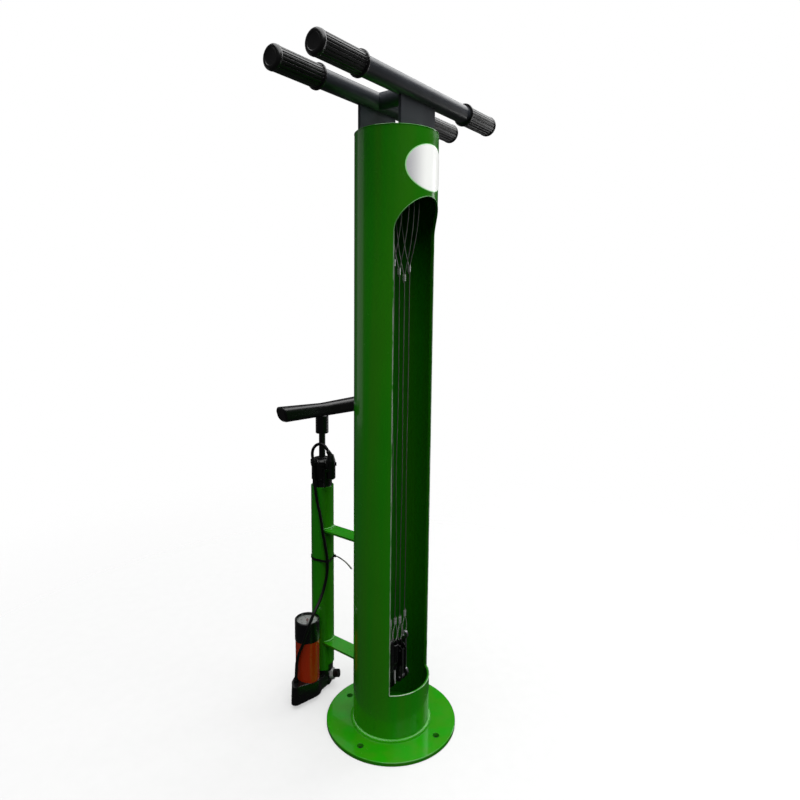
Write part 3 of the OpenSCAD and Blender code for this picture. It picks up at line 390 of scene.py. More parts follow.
BORE = 80.5 * MM, 83 * MM   # distances from the column's axis between which its bore ends
MOUTH = 1.235, 1.245        # heights between which the shade inside the column ends
FOOT = 0.1, 0.32            # heights below which that shade deepens


def powder_coat(name, colour, roughness=0.2, coat=0.4, inside=0.0,
                warm_reflection=(1.1, 1.1, 1.1), cool_reflection=(0.9, 0.9, 0.9)):
    """Gloss powder coat: a film drawn thinly over rounded edges, orange peel a few millimetres
    wide, slow bands along the tube between the cool_reflection and warm_reflection shares of the
    colour, painted in as reflections in the gloss, matt handling smears and a few fine specks.
    Where inside is over 0, shade is painted into the coat by that share within the column, deepest
    at its foot."""
    f = Finish(name, metallic=0.0, coat_roughness=0.06, specular_ior_level=0.4, coat_weight=coat)
    p = f.place()
    reflection_streaks = f.noise(f.drawn(p, 0.05), 26.0)
    drift = f.noise(p, 9.0, 3.0)
    peel = f.noise(p, 420.0)
    swell = f.noise(p, 70.0)
    haze = f.noise(p, 38.0, 5.0, 0.62)
    specks = f.ramp(f.noise(p, 900.0), 0.7, 0.78)
    cool_reflection, warm_reflection = (tuple(c * k for c, k in zip(colour, share)) for share in (cool_reflection, warm_reflection))
    # painted reflection: the tone follows the bands of reflection_streaks
    tone = f.mix(f.ramp(reflection_streaks, 0.35, 0.65), cool_reflection, warm_reflection)
    tone = f.mix(drift * 0.22, tone, shade(colour, 0.4))
    # painted shade inside the column, deepest towards its foot
    if inside:
        height = f.part(p, 2)
        within = (1 - f.ramp(f.from_axis(p), *BORE)) * (1 - f.ramp(height, *MOUTH))
        painted_shade = inside * (1 + 0.6 * (1 - f.ramp(height, *FOOT)))
        tone = f.mix(within * painted_shade, tone, (0.0, 0.02, 0.0))
    return f.set(
        base_color=f.mix(specks * 0.35, tone, shade(colour, 0.4)),
        roughness=roughness + 0.08 * f.ramp(haze, 0.42, 0.72),
        normal=f.bump(peel + 3 * swell, 0.3 * MM, 0.1, f.soft_edge(1.5 * MM)),
    )


def moulded(name, colour, roughness, shine=0.5, coat=0.0, depth=0.06 * MM, edge=0.5 * MM):
    """Moulded plastic or rubber: fine grain, worn a little smoother where a slow noise is high,
    pale dust where a middling one is, and rounded edges."""
    f = Finish(name, metallic=0.0, specular_ior_level=shine, coat_weight=coat, coat_roughness=0.1)
    p = f.place()
    wear = f.noise(p, 35.0, 4.0)
    fine = f.noise(p, 900.0, 3.0)
    dust = f.ramp(f.noise(p, 140.0, 5.0, 0.65), 0.6, 0.85)
    worn = f.mix(wear, shade(colour, 0.8), shade(colour, 1.3))
    return f.set(
        base_color=f.mix(dust * 0.06, worn, (0.2, 0.2, 0.2)),
        roughness=roughness - 0.14 * wear + 0.1 * dust,
        normal=f.bump(fine, depth, 0.4, f.soft_edge(edge) if edge else None),
    )


ARCH = 1.02, 1.08   # heights between which the painted highlight along the opening's edge lessens


def painted_edge_highlight(name, colour):
    """Painted highlight along a cut edge, where the coat is drawn thinly: its green washed out to a
    pale grey-green, unevenly along it and less round the arch."""
    f = Finish(name, metallic=0.0, roughness=0.24, coat_weight=0.5, coat_roughness=0.05)
    p = f.place()
    # worn: share of the pale painted highlight along the edge
    worn = f.ramp(f.noise(p, 24.0, 5.0, 0.6), 0.3, 0.62) * (1 - 0.75 * f.ramp(f.part(p, 2), *ARCH))
    return f.set(base_color=f.mix(worn, shade(colour, 1.1), (0.5, 0.66, 0.48)),
                 normal=f.bump(f.noise(p, 300.0), 0.2 * MM, 0.2))


TAIL_START = 45 * MM, 52 * MM   # distances from the pump's axis between which the tie turns pale


def tie_nylon():
    """Nylon of the cable tie: black round the sleeve, pale grey along its tail."""
    f = Finish("tie_nylon", metallic=0.0, roughness=0.3, coat_weight=0.2)
    p = f.place()
    pale_tail = f.ramp(f.from_axis(p, PUMP[1]), *TAIL_START)
    wear = f.noise(p, 90.0, 4.0)
    dark = f.mix(wear, (0.004, 0.004, 0.004), (0.01, 0.01, 0.01))
    pale = f.mix(wear, (0.5, 0.5, 0.46), (0.66, 0.66, 0.62))
    return f.set(base_color=f.mix(pale_tail, dark, pale),
                 normal=f.bump(f.noise(p, 700.0), 0.05 * MM, 0.4))


def metal(name, colour, roughness, marks=0.5, share=1.0):
    """Turned or brushed metal: noise closed up along Z for the lines of the tool, smudged by a slow
    one. Where share is under 1, the rest is a plain pale plating."""
    f = Finish(name, metallic=share)
    p = f.place()
    lines = f.noise(f.drawn(p, 12.0), 260.0, 3.0)
    smudge = f.noise(p, 45.0, 4.0, 0.6)
    return f.set(
        base_color=f.mix(smudge, shade(colour, 0.75), shade(colour, 1.1)),
        roughness=roughness + 0.14 * lines + 0.12 * smudge,
        normal=f.bump(lines, 0.02 * MM, marks),
    )


LOWER_EYES = 0.25, 0.27     # heights between which the painted highlight on the ropes' lower loops ends


def rope_steel(name):
    """Steel rope: darker and a little green along its run as painted shade and painted green
    reflection, with a painted highlight in the loop through its tool.
    """
    f = Finish(name, metallic=0.8)
    p = f.place()
    # painted highlight on the lower loops
    lit_loops = 1 - f.ramp(f.part(p, 2), *LOWER_EYES)
    lines = f.noise(p, 260.0, 3.0)
    smudge = f.noise(p, 45.0, 4.0, 0.6)
    # painted shade and green reflection along the run inside the column
    shaded_run = f.mix(smudge, (0.2, 0.22, 0.19), (0.34, 0.36, 0.32))
    return f.set(base_color=f.mix(lit_loops, shaded_run, (0.92, 0.92, 0.9)),
                 roughness=0.3 - 0.12 * lit_loops + 0.14 * lines, normal=f.bump(lines, 0.02 * MM, 0.5))


def clear_lens(name):
    """Clear moulded lens: full transmission with faint handling marks in its roughness."""
    f = Finish(name, transmission_weight=1.0, ior=1.45, base_color=(0.95, 0.97, 0.97, 1))
    return f.set(roughness=0.03 + 0.08 * f.noise(f.place(), 120.0, 4.0))


FINISHES = {}


def finish(slot):
    """The material of one of the record's slots, or of painted_edge_highlight and highlight_coat, made at its first
    use. A row has its maker and, in that function's order, what it asks for after the name."""
    coat = bpy.context.scene.station_coat
    green = tuple(coat.green)
    rows = {
        # green_coat: cool and warm shares of painted reflection, and painted shade inside the
        # column
        "green_coat": (powder_coat, green, 0.2, 0.4, 0.36, (1.45, 0.97, 3), (0.6, 1.06, 1)),
        # a lighter copy of the green coat: painted highlight on the weld beads and the mouth lip
        "highlight_coat": (powder_coat, shade(green, 1.25), 0.1, 0.9),
        "dark_coat": (powder_coat, tuple(coat.graphite), 0.32, 0.2),
        "orange_coat": (powder_coat, tuple(coat.orange), 0.2, 0.6),
        "painted_edge_highlight": (painted_edge_highlight, green),
        "grip_rubber": (moulded, (0.006, 0.006, 0.0063), 0.36, 0.9, 0.0, 0.01 * MM, 0.0),
        "hose_rubber": (moulded, (0.004, 0.004, 0.004), 0.52, 0.3),
        "black_plastic": (moulded, (0.0035, 0.0035, 0.004), 0.34, 0.5, 0.25),
        "dial_white": (moulded, (0.62, 0.62, 0.6), 0.5),
        "needle_red": (moulded, (0.16, 0.012, 0.01), 0.45),
        "bright_steel": (metal, (0.9, 0.9, 0.91), 0.2, 0.5, 0.4),
        "rod_steel": (metal, (0.1, 0.1, 0.105), 0.2),
        "key_steel": (metal, (0.16, 0.16, 0.17), 0.3),
        "chrome_tool": (metal, (0.45, 0.45, 0.48), 0.16),
        "ferrule_metal": (metal, (0.95, 0.95, 0.96), 0.14, 0.3, 0.7),
        "rope_steel": (rope_steel,),
        "lens_clear": (clear_lens,),
    }
    if slot not in FINISHES:
        maker, *values = rows[slot]
        FINISHES[slot] = maker(slot, *values)
    return FINISHES[slot]


# ---- cords

HOSE_POINTS = np.array([
    [-97, -6.5, 56], [-97, -6.5, 62], [-95, -5.5, 77], [-92.5, -5, 98], [-91, -11.5, 122],
    [-88.5, -19, 141], [-86.5, -23, 156], [-80.5, -30.5, 187], [-67, -35, 216], [-43, -31, 237],
    [-28, -30, 260], [-19, -31, 291], [-17, -31, 327], [-21.5, -27.5, 370], [-24.6, -24, 397],
    [-25.5, -21.5, 418], [-27.4, -17, 443], [-29.3, -12, 467], [-30.5, -8, 491],
    [-30.5, -4.5, 516], [-30, -1.5, 538], [-29.5, -0.5, 551.5], [-29.5, -0.5, 562.5],
    [-28.8, 3, 572], [-27.7, 4.5, 582], [-26, 2, 592.5], [-23.2, -5, 600.5], [-19.5, -14, 603.5],
    [-16.3, -23, 600], [-14.2, -29, 592.5], [-13.5, -30.5, 589.5]]) * MM + PUMP

BAR_Y, BAR_TOP = -34 * MM, 1178.3 * MM      # the bar's axis, and a rope's height over it
STRAND = 1.3 * MM                           # half the distance between two strands in a ferrule
TEARDROP_SHARE = 0.77                       # greatest half width of a teardrop of factor 1
LOOP_DROP, EYE_HEIGHT = 172 * MM, 42 * MM   # heights of an upper and of a lower loop
EYE_FACTOR = 7.2 * MM / TEARDROP_SHARE
FERRULE, TAIL, WAVE = 13 * MM, 4 * MM, 2 * MM
TOOLS_FOOT = 115 * MM                       # height of the tools' lowest points
ROPE_R, PLAY = 1 * MM, 0.3 * MM             # what lies between a hole's edge and its rope's middle
EYE_CURVE = 0.29                            # share of a lower loop's height by which it dips

# In millimetres but for the shares drop and wave: place along the bar, height and half width of the
# upper loop, sideways wave of the run, then the tool's height, the depth of its hole below its top,
# the hole's radius, and half the tool's thickness there.
TETHERS = {
    "lever": dict(x=-50, drop=1.0, half=18.5, wave=1.0, tool=105, below=6.5, hole=3.5, held=4.3,
                  pieces=["tyre_lever_a", "tyre_lever_b"]),
    "driver": dict(x=-33, drop=1.09, half=22, wave=-0.7, tool=102, below=5.6, hole=2.6, held=2.0,
                   pieces=["driver_handle", "driver_blade"]),
    "hex": dict(x=-16, drop=1.16, half=22, wave=0.4, tool=97, below=5.6, hole=2.6, held=2.0,
                pieces=["hex_holder", "hex_keys", "hex_pins"]),
    "wrench": dict(x=1, drop=1.05, half=22, wave=-0.3, tool=107, below=9, hole=5, held=2.5,
                   pieces=["wrench"]),
}


def teardrop(height, factor, steps):
    """Half width factor * sin a * cos(a / 2) and height h / 2 * (1 - cos a), for a between the two
    ends, -reach and reach, at which the strands come together."""
    reach = math.pi - math.sqrt(2 * STRAND / factor)
    a = np.linspace(-reach, reach, steps + 1)
    return factor * np.sin(a) * np.cos(a / 2), height / 2 * (1 - np.cos(a))


def neck(height, factor):
    """Height at which a teardrop's two strands come together."""
    return height / 2 * (1 + math.cos(math.sqrt(2 * STRAND / factor)))


def rope_line(t):
    """A rope's centre line and the heights of its two ferrules: a tail, a teardrop over the bar in
    the YZ plane, a run with two sine waves that fade at both ends, a teardrop through the tool in
    the XZ plane, and a tail."""
    drop, factor = LOOP_DROP * t["drop"], t["half"] * MM / TEARDROP_SHARE
    sag = EYE_HEIGHT * EYE_CURVE * (t["held"] * MM / EYE_FACTOR) ** 2
    eye = TOOLS_FOOT + (t["tool"] - t["below"] + t["hole"]) * MM - ROPE_R - PLAY - sag
    upper, lower = BAR_TOP - neck(drop, factor), eye + neck(EYE_HEIGHT, EYE_FACTOR)
    x, top, low = t["x"] * MM, upper - FERRULE, lower + FERRULE
    across, down = teardrop(drop, factor, 90)
    loop = np.stack([np.full_like(across, x), BAR_Y - across, BAR_TOP - down], 1)
    s = np.linspace(0, 1, 160)[1:-1]
    fade = WAVE * t["wave"] * np.sin(math.pi * s)
    run = np.stack([x - STRAND * s + fade * np.sin(4 * math.pi * s),
                    BAR_Y - STRAND * (1 - s) + fade * np.sin(3 * math.pi * s),
                    top * (1 - s) + low * s], 1)
    side, up = teardrop(EYE_HEIGHT, EYE_FACTOR, 48)
    eye_loop = np.stack([x + side, np.full_like(side, BAR_Y), eye + up], 1)
    line = np.vstack([[[x, BAR_Y + STRAND, top - TAIL], [x, BAR_Y + STRAND, top]], loop,
                      [[x, BAR_Y - STRAND, top]], run, [[x - STRAND, BAR_Y, low]], eye_loop,
                      [[x + STRAND, BAR_Y, low], [x + STRAND, BAR_Y, low + TAIL]]])
    return line, upper, lower


def stranded(line, radius, strands, lay):
    """Rope outline at each point: radius * (1 - 0.2 (1 - |cos(n (a - 2 pi s / lay) / 2)|)) at angle
    a and distance s, which gives n round lobes that wind once round in a lay length."""
    a = np.arange(strands * 4) * TURN / (strands * 4)
    wound = a[None, :] - TURN * run_length(line)[:, None] / lay
    r = radius * (1 - 0.2 * (1 - np.abs(np.cos(strands * wound / 2))))
    return np.stack([r * np.cos(a), r * np.sin(a)], -1)


class STATION_OT_hose(bpy.types.Operator):
    """Hose from the pump's foot, up beside the barrel, through its clip and over into the head"""
    bl_idname = "station.hose"
    bl_label = "Hose"

    def execute(self, context):
        size = context.scene.station_hose
        line = even_line(smooth_line(HOSE_POINTS, 12), 2 * MM)
        grid = carried(line, round_outline(size.diameter / 2, 24), (1, 0, 0))
        hose = make_piece("pump_hose", [closed_tube(grid)], finish("hose_rubber"), "station")
        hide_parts("hose")
        return {"FINISHED"}


class STATION_OT_ropes(bpy.types.Operator):
    """Four stranded ropes, each with an eye round the bar and an eye through its tool"""
    bl_idname = "station.ropes"
    bl_label = "Tool ropes"

    def execute(self, context):
        """Each outline is set out from Y at its tool and from X at the bar, square to the loop
        there, and from a mix of both on the run, between two heights."""
        size = context.scene.station_ropes
        for name, t in TETHERS.items():
            line, upper, lower = rope_line(t)
            line = even_line(line, 1.1 * MM)
            start, end = lower + 0.1, upper - 0.2
            share = np.clip((line[:, 2] - start) / (end - start), 0, 1)[:, None]
            reference = share * [1, 0, 0] + (1 - share) * [0, 1, 0]
            outline = stranded(line, size.diameter / 2, size.strands, size.lay)
            rope = make_piece(f"{name}_wire", [closed_tube(carried(line, outline, reference))],
                              finish("rope_steel"), f"{name}_tether", 70)
            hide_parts(f"{name}_rope")
        return {"FINISHED"}


# ---- edges of the column

class STATION_OT_edges(bpy.types.Operator):
    """Rounded lips along the cut edge of the tool opening and along the column's mouth, in coats
    with painted highlights
    """
    bl_idname = "station.edges"
    bl_label = "Cut edges"

    def execute(self, context):
        """The opening's edge goes up one side, round the half circle x = r cos a, z = z0 + r sin a,
        down the other side and along the sill, at y = -sqrt(R^2 - x^2). A circle of the lip's
        radius follows it, and another goes round the mouth."""
        size = context.scene.station_edges
        radius, half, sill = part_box("column")[1][0], size.opening / 2, size.sill
        spring, sunk = size.arch_top - half, 0.45 * size.lip
        side_steps, arch_steps, sill_steps, mouth_steps = 240, 120, 88, 240
        up = np.stack([np.full(side_steps, half), np.linspace(sill, spring, side_steps)], 1)
        a = np.linspace(0, TURN / 2, arch_steps + 2)[1:-1]
        arch = np.stack([half * np.cos(a), spring + half * np.sin(a)], 1)
        along = np.linspace(-half, half, sill_steps + 2)[1:-1]
        sill_line = np.stack([along, np.full(sill_steps, sill)], 1)
        loop = np.vstack([up, arch, up[::-1] * [-1, 1], sill_line])
        depth = -np.sqrt((radius - sunk) ** 2 - loop[:, 0] ** 2)
        line = np.stack([loop[:, 0], depth, loop[:, 1]], 1)
        heading = unit(np.roll(line, -1, 0) - np.roll(line, 1, 0))
        outward = unit(line * [1, 1, 0])
        side = unit(np.cross(heading, outward))
        a = np.arange(mouth_steps) * TURN / mouth_steps
        ring = np.stack([np.cos(a), np.sin(a), np.zeros(mouth_steps)], 1)
        mouth = ring * (radius - sunk) + [0, 0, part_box("column")[1][2] - sunk]
        circle = round_outline(size.lip, 12)
        # the opening's lip takes the painted edge highlight, the mouth's lip the lighter coat
        # painted as a highlight
        for name, coat, middle, out, along in (
                ("opening_lip", "painted_edge_highlight", line, outward, side),
                ("mouth_lip", "highlight_coat", mouth, ring, np.array([[0, 0, 1]]))):
            grid = middle[:, None] + circle[:, :1] * out[:, None] + circle[:, 1:] * along[:, None]
            make_piece(name, [closed_ring(grid)], finish(coat), "station", 80)
        return {"FINISHED"}


# ---- grips

class STATION_OT_grips(bpy.types.Operator):
    """Four rubber grips with narrow grooves along them, a collar ring and a dished, rounded end"""
    bl_idname = "station.grips"
    bl_label = "Grips"

    def execute(self, context):
        """A profile of distance s along the arm and radius r is turned round the arm's axis. On the
        barrel the radius is r - depth * window(s) * exp(-(r w / half)^2), where w is the angle to
        the nearest groove and window rises from 0 to 1 over the barrel's first and last stretch."""
        size = context.scene.station_grips
        bore = (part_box("front_arm")[1][2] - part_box("front_arm")[0][2]) / 2
        barrel, cap, groove_half = bore + 2.3 * MM, bore + 3.1 * MM, 0.75 * MM
        collar_end, cap_length, round_end, dish = 4 * MM, 9 * MM, 5 * MM, 14 * MM
        rise = np.array([0, 0.5, 1.0, 1.6, 2.3]) * MM
        beside = np.array([0, 0.025, 0.05, 0.08, 0.11, 0.15, 0.2, 0.26, 0.36, 0.5])
        step = np.concatenate([-beside[:0:-1], beside[:-1]])
        a = ((np.arange(size.grooves)[:, None] + step) * TURN / size.grooves).ravel()
        w = np.tile(step, size.grooves) * TURN / size.grooves
        turn = np.linspace(0, TURN / 4, 9)[1:]
        edge, chamfer = 0.12 * MM, 0.5 * MM
        for name in ("front_left", "front_right", "rear_left", "rear_right"):
            low, high = (np.array(corner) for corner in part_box(f"{name}_grip"))
            side = 1 if high[0] > 0 else -1
            inner, length = min(abs(low[0]), abs(high[0])), high[0] - low[0]
            collar = (high[2] - low[2]) / 2
            start, stop = collar_end + chamfer, length - cap_length
            middle = np.linspace(start, stop, 15)[1:-1]
            along = np.concatenate([start + rise, middle, stop - rise[::-1]])
            s = np.concatenate([[length - round_end, 0, 0, edge, chamfer, collar_end - chamfer,
                                 collar_end - edge, collar_end], along,
                                [stop + 0.7 * MM, length - round_end],
                                length - round_end + round_end * np.sin(turn),
                                length - np.array([0, 0.12, 0.5, 0.6, 0.6]) * MM])
            r = np.concatenate([[bore, bore, collar - chamfer, collar - edge, collar, collar,
                                 collar - edge, collar - chamfer],
                                np.full(len(along), barrel), [cap, cap],
                                cap - round_end + round_end * np.cos(turn),
                                dish - np.array([0, 0.3, 0.7, 1.1, 13.4]) * MM])
            window = np.clip((s - start) / rise[-1], 0, 1) * np.clip((stop - s) / rise[-1], 0, 1)
            window = np.sin(window * TURN / 4)[:, None]
            dip = np.exp(-(r[:, None] * w / groove_half) ** 2)
            radius = r[:, None] - size.groove * window * dip
            axis = (low + high) / 2
            grid = np.stack([side * (inner + np.broadcast_to(s[:, None], radius.shape)),
                             axis[1] + radius * np.cos(a), axis[2] + radius * np.sin(a)], -1)
            grip = make_piece(f"{name}_rubber", [closed_tube(grid)], finish("grip_rubber"),
                              "station", 50)
            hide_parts(f"{name}_grip")
        return {"FINISHED"}


# ---- welds

def fillet(centre, radius, start, end, height, up, leg, ripple):
    """Bead of weld in the corner between an upright round wall and a flat plate. At angle a its
    section is the quarter circle (radius + l sin(pi t / 2), height + up l cos(pi t / 2)) for t from
    0 to 1, where l = leg (0.93 + 0.07 cos(2 pi s / ripple - 2.4 (2 t - 1)^2) + 0.05 sin 3a sin 7a)
    and s = radius a, so its ripples are crescents. Three hidden points close it inside wall and
    plate. An open bead's leg fades at both ends as 1 - (2 share - 1)^8."""
    whole = abs(end - start) >= TURN
    ripples = int(round(abs(end - start) * radius / ripple))
    count = ripples * 7
    share = np.arange(count) / count if whole else np.linspace(0, 1, count)
    a = (start + (end - start) * share)[:, None]
    t = np.linspace(0, 1, 9)[None, :]
    crescent = np.cos(ripples * TURN * share[:, None] - 2.4 * (2 * t - 1) ** 2)
    size = leg * (0.93 + 0.07 * crescent + 0.05 * np.sin(3 * a) * np.sin(7 * a))
    if not whole:
        size = size * (1 - (2 * share[:, None] - 1) ** 8) + 0.05 * MM
    sunk = 0.3 * MM
    out = np.hstack([radius + size * np.sin(math.pi * t / 2), radius + size[:, -1:],
                     np.full((count, 2), radius - sunk)])
    rise = np.hstack([size * np.cos(math.pi * t / 2), np.full((count, 2), -sunk), size[:, :1]])
    grid = np.stack([centre[0] + out * np.cos(a), centre[1] + out * np.sin(a),
                     height + up * rise], -1)
    return closed_ring(grid) if whole else closed_tube(grid)


class STATION_OT_welds(bpy.types.Operator):
    """Rippled weld beads round the column's foot and along both bracket plates"""
    bl_idname = "station.welds"
    bl_label = "Welds"

    def execute(self, context):
        size = context.scene.station_welds
        column, flange_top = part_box("column")[1][0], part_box("base_flange")[1][2]
        sleeve_low, sleeve_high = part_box("pump_sleeve")
        sleeve = (sleeve_high[0] - sleeve_low[0]) / 2
        walls = ((0, 0), column, TURN / 4), (PUMP[:2], sleeve, -TURN / 4)
        bead = fillet((0, 0), column, 0, TURN, flange_top, 1, size.base_leg, size.ripple)
        # weld beads in the lighter coat, a painted highlight
        base = make_piece("base_bead", [bead], finish("highlight_coat"), "station", 80)
        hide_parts("base_weld")
        for name in ("upper", "lower"):
            low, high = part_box(f"{name}_bracket")
            beads = []
            for height, up in ((high[2], 1), (low[2], -1)):
                for centre, radius, middle in walls:
                    reach = math.asin(high[0] / radius) * 0.97
                    beads.append(fillet(centre, radius, middle - reach, middle + reach, height, up,
                                        size.bracket_leg, size.ripple * 0.8))
            make_piece(f"{name}_bracket_beads", beads, finish("highlight_coat"), "station",
                       80)
        return {"FINISHED"}


# ---- label

class STATION_OT_label(bpy.types.Operator):
    """Bare oval label under a clear dome, bent round the column above the tool opening"""
    bl_idname = "station.label"
    bl_label = "Label"

    def execute(self, context):
        """A point at share q of the way from middle to rim and angle b stands at the column's angle
        width / 2 q cos b / radius and height middle + height / 2 q sin b. It is lifted off the wall
        by the rim's thickness and by the rest of the dome times (1 - q^10)^0.5. The underside is
        the same oval, sunk a little into the coat."""
        size = context.scene.station_label
        radius, rim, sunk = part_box("column")[1][0], 0.25 * MM, 0.3 * MM
        rounding = 1 - 0.1 * np.cos(np.linspace(0.3, 1, 9) * TURN / 4) ** 2
        q = np.concatenate([np.linspace(0.05, 0.9, 18), rounding])
        lift = rim + (size.dome - rim) * np.sqrt(np.clip(1 - q**10, 0, 1))
        q = np.concatenate([q, [1.0, 0.5, 0.05]])
        lift = np.concatenate([lift, np.full(3, -sunk)])
        b = np.arange(120) * TURN / 120
        bend = -TURN / 4 + size.width / 2 * q[:, None] * np.cos(b) / radius
        out = (radius + lift)[:, None]
        grid = np.stack([out * np.cos(bend), out * np.sin(bend),
                         size.middle + size.height / 2 * q[:, None] * np.sin(b)], -1)
        make_piece("oval_label", [closed_tube(grid)], self.film(size, radius), "station",
                   60)
        return {"FINISHED"}

    def film(self, size, radius):
        """Bare film, faintly dusty and white, light green along its cut rim. It glows with painted
        light:
        dim grey at its left side as painted shade, bright from there on, and green along the rim."""
        # painted glow: the film emits light though it is no lamp
        f = Finish("label_film", metallic=0.0, coat_roughness=0.04, coat_weight=0.4,
                   emission_strength=0.65)
        p = f.place()
        around = f.node("ShaderNodeMath", {"operation": "ARCTAN2"},
                        {0: f.part(p, 0), 1: 0 - f.part(p, 1)})
        across = around * (2 * radius / size.width)
        up = (f.part(p, 2) - size.middle) * (2 / size.height)
        reach = (across * across + up * up) ** 0.5
        rim = f.ramp(reach, 0.955, 0.975)
        # painted shade on the left side of the glow, full glow from there on
        lit_side = f.ramp(f.part(p, 0), -0.94 * size.width / 2, -0.2 * size.width / 2)
        painted_glow = f.mix(lit_side, (0.16, 0.16, 0.19), (0.9, 0.92, 0.88))
        dust = f.noise(p, 160.0, 4.0, 0.7)
        film = tuple(bpy.context.scene.station_coat.label)
        white = f.mix(dust, shade(film, 0.95), shade(film, 1.04))
        return f.set(base_color=f.mix(rim, white, (0.36, 0.72, 0.33)),
                     emission_color=f.mix(rim, painted_glow, (0.2, 0.5, 0.18)),
                     roughness=0.16 + 0.2 * f.noise(p, 70.0, 4.0, 0.6),
                     normal=f.bump(f.noise(p, 25.0), 0.6 * MM, 0.15))


# ---- gauge marks

def prism(outline, low, high):
    """Upright prism: the outline's points at one height, then at the other."""
    rings = [np.column_stack([outline, np.full(len(outline), z)]) for z in (low, high)]
    return closed_tube(np.stack(rings))


def dial_number(word, place, size, low, thick):
    """Points and triangles of a number in Blender's own font, flat at a place on the dial."""
    curve = bpy.data.curves.new("number", "FONT")
    curve.body, curve.size, curve.align_x, curve.align_y = word, size, "CENTER", "CENTER"
    curve.extrude, curve.resolution_u = thick / 2, 3
    holder = bpy.data.objects.new("number", curve)
    bpy.context.scene.collection.objects.link(holder)
    shown = holder.evaluated_get(bpy.context.evaluated_depsgraph_get())
    mesh = bpy.data.meshes.new_from_object(shown)
    bpy.data.objects.remove(holder)
    build = bmesh.new()
    build.from_mesh(mesh)
    bmesh.ops.remove_doubles(build, verts=build.verts, dist=1e-7)
    bmesh.ops.triangulate(build, faces=build.faces)
    build.verts.ensure_lookup_table()
    points = np.array([v.co for v in build.verts]) + [place[0], place[1], low + thick / 2]
    faces = np.array([[v.index for v in face.verts] for face in build.faces])
    build.free()
    return points, [faces]


TICKS, LONG_EACH, FIRST_TICK, TICK_STEP = 31, 6, 225, 9  # the last two in degrees


class STATION_OT_gauge(bpy.types.Operator):
    """Scale of the pressure gauge: thirty-one ticks and six plain numbers on the dial"""
    bl_idname = "station.gauge"
    bl_label = "Gauge marks"

    def execute(self, context):
        """Tick n stands at 225 - 9 n degrees and runs in from the scale's radius, further at each
        sixth, whose number is a third of n."""
        low, high = (np.array(corner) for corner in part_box("gauge_dial"))
        middle, radius = (low[:2] + high[:2]) / 2, (high[0] - low[0]) / 2
        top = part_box("gauge_needle")[0][2] - 0.95 * MM
        parts = []
        sunk, thick = 0.1 * MM, 0.22 * MM
        for tick in range(TICKS):
            a = math.radians(FIRST_TICK - TICK_STEP * tick)
            long = tick % LONG_EACH == 0
            out = np.array([math.cos(a), math.sin(a)])
            side = np.array([-math.sin(a), math.cos(a)])
            half = side * (0.45 if long else 0.22) * MM
            ends = middle + out * radius * 0.93, middle + out * radius * (0.76 if long else 0.84)
            outline = np.array([ends[0] - half, ends[0] + half, ends[1] + half, ends[1] - half])
            parts.append(prism(outline, top - sunk, top - sunk + thick))
            if long:
                place = middle + out * radius * 0.57
                parts.append(dial_number(str(tick // 3), place, 5.2 * MM, top - sunk, thick))
        make_piece("gauge_marks", parts, moulded("dial_ink", (0.012, 0.012, 0.013), 0.6), "station",
                   30)
        return {"FINISHED"}


# ---- finishes on the CAD nodes

class STATION_OT_finishes(bpy.types.Operator):
    """Procedural finishes on the CAD nodes that show"""
    bl_idname = "station.finishes"
    bl_label = "Finishes"

    def execute(self, context):
        for row in frame["record"]["subparts"]:
            node = frame["nodes"][row["node"]]
            made = tie_nylon() if row["node"] == "hose_tie" else finish(row["material_slot"])
            for place in node.material_slots:
                place.material = made
        return {"FINISHED"}


# ---- stage

AHEAD, RIGHT, UP = (0.7862, 0.6053, -0.1247), (0.6110, -0.7916, 0.0089), (0.0933, 0.0832, 0.9922)
FLOOR_SIDES = 96
DIM_WORLD = 0.03    # light from the backdrop, which only the camera sees in full
LIGHTS = {          # place, aim, width, height, brightness
    "overhead": ((-0.5, -2.4, 6), (-0.5, -2.4, 0), 9, 11, 2.2),
    "right": ((3.6, -0.1, 3.6), (0, 0, 1.0), 3.0, 2.6, 2.2),
    "strip": ((3.3, -1.3, 0.85), (0, 0, 0.85), 0.7, 2.3, 2.6),
    "back": ((-1.0, 4.5, 1.2), (0, 0, 1.0), 2.6, 3.0, 0.26),
    "far": ((2.9, 3.3, 3.2), (0, 0, 0), 1.3, 1.0, 0.4),
}


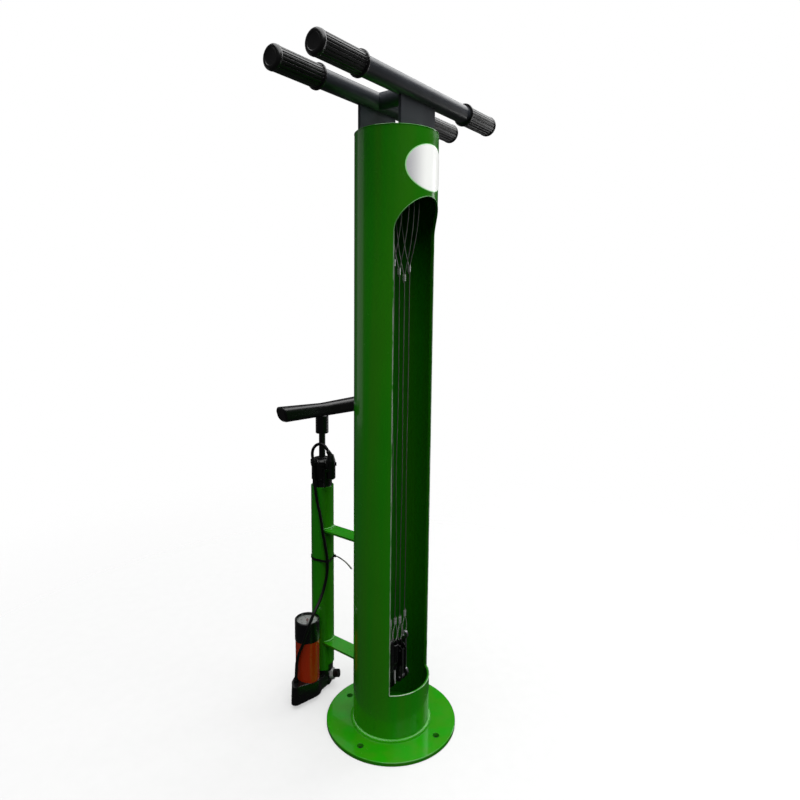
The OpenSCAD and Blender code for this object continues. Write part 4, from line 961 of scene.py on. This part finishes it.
class STATION_OT_stage(bpy.types.Operator):
    """Camera, pale floor, backdrop light and soft studio lamps"""
    bl_idname = "station.stage"
    bl_label = "Stage"

    def execute(self, context):
        """A light's power is its brightness times pi times its area."""
        scene, size = context.scene, context.scene.station_stage
        lens = bpy.data.cameras.new("camera")
        lens.lens, lens.sensor_width = size.lens, 36
        lens.shift_x, lens.shift_y = size.shift
        camera = bpy.data.objects.new("camera", lens)
        scene.collection.objects.link(camera)
        ahead, right, up = (Vector(v).normalized() for v in (AHEAD, RIGHT, UP))
        turn = Matrix((right, up, -ahead)).transposed().to_4x4()
        camera.matrix_world = Matrix.Translation(size.camera_at) @ turn
        scene.camera = camera

        rim = round_outline(size.floor_radius, FLOOR_SIDES)
        mesh = bpy.data.meshes.new("floor")
        mesh.from_pydata([(x, y, 0) for x, y in rim], [], [range(FLOOR_SIDES)])
        mesh.materials.append(self.floor_finish(size.floor_radius))
        floor = bpy.data.objects.new("floor", mesh)
        scene.collection.objects.link(floor)
        floor.visible_diffuse = floor.visible_glossy = False

        world = bpy.data.worlds.new("studio")
        world.use_nodes = True
        tree = world.node_tree
        back = tree.nodes["Background"]
        back.inputs["Color"].default_value = (1, 1, 1, 1)
        path = tree.nodes.new("ShaderNodeLightPath")
        strength = tree.nodes.new("ShaderNodeMapRange")
        strength.inputs["To Min"].default_value = DIM_WORLD
        tree.links.new(path.outputs["Is Camera Ray"], strength.inputs["Value"])
        tree.links.new(strength.outputs["Result"], back.inputs["Strength"])
        scene.world = world
        scene.view_settings.view_transform = "Standard"

        for name, (place, aim, width, height, brightness) in LIGHTS.items():
            lamp = bpy.data.lights.new(name, "AREA")
            lamp.shape, lamp.size, lamp.size_y = "RECTANGLE", width, height
            lamp.energy = brightness * math.pi * width * height
            holder = bpy.data.objects.new(name, lamp)
            scene.collection.objects.link(holder)
            holder.location = place
            beam = Vector(aim) - Vector(place)
            holder.rotation_euler = beam.to_track_quat("-Z", "Y").to_euler()
        return {"FINISHED"}

    def floor_finish(self, radius):
        """Pale floor, half seen through, that fades into the backdrop away from the station and has
        painted shade, a dark green-grey, where the flange covers it."""
        f = Finish("floor", roughness=0.7, specular_ior_level=0.2)
        p = f.place()
        reach = f.from_axis(p)
        clear = f.ramp(reach, 138 * MM, 142 * MM)
        pale = f.mix(f.noise(p, 30.0, 3.0), (0.9, 0.9, 0.9), (0.95, 0.95, 0.95))
        # painted shade under the flange, seen through its holes
        return f.set(base_color=f.mix(clear, (0.01, 0.02, 0.01), pale),
                     alpha=(1 - 0.5 * clear) * (1 - f.ramp(reach, radius * 0.1, radius * 0.4)))


# ---- panel and registration

OPERATORS = (STATION_OT_finishes, STATION_OT_hose, STATION_OT_ropes, STATION_OT_edges,
             STATION_OT_grips, STATION_OT_welds, STATION_OT_label, STATION_OT_gauge,
             STATION_OT_stage)


class STATION_PT_pieces(bpy.types.Panel):
    """Pieces of the station, their sizes and colours"""
    bl_idname = "STATION_PT_pieces"
    bl_label = "Repair station"
    bl_space_type = "VIEW_3D"
    bl_region_type = "UI"
    bl_category = "Station"

    def draw(self, context):
        for name, group in SETTINGS.items():
            box = self.layout.box()
            box.label(text=group.__doc__)
            for key in group.__annotations__:
                box.prop(getattr(context.scene, name), key)
        for operator in OPERATORS:
            self.layout.operator(operator.bl_idname)


CLASSES = (*SETTINGS.values(), *OPERATORS, STATION_PT_pieces)


def register():
    for item in CLASSES:
        bpy.utils.register_class(item)
    for name, group in SETTINGS.items():
        setattr(bpy.types.Scene, name, PointerProperty(type=group))


def unregister():
    for name in SETTINGS:
        delattr(bpy.types.Scene, name)
    for item in reversed(CLASSES):
        bpy.utils.unregister_class(item)


def main():
    """Makes every piece in order."""
    register()
    for operator in OPERATORS:
        getattr(bpy.ops.station, operator.bl_idname.split(".")[1])()
    bpy.context.view_layer.update()


if __name__ == "__main__":
    main()
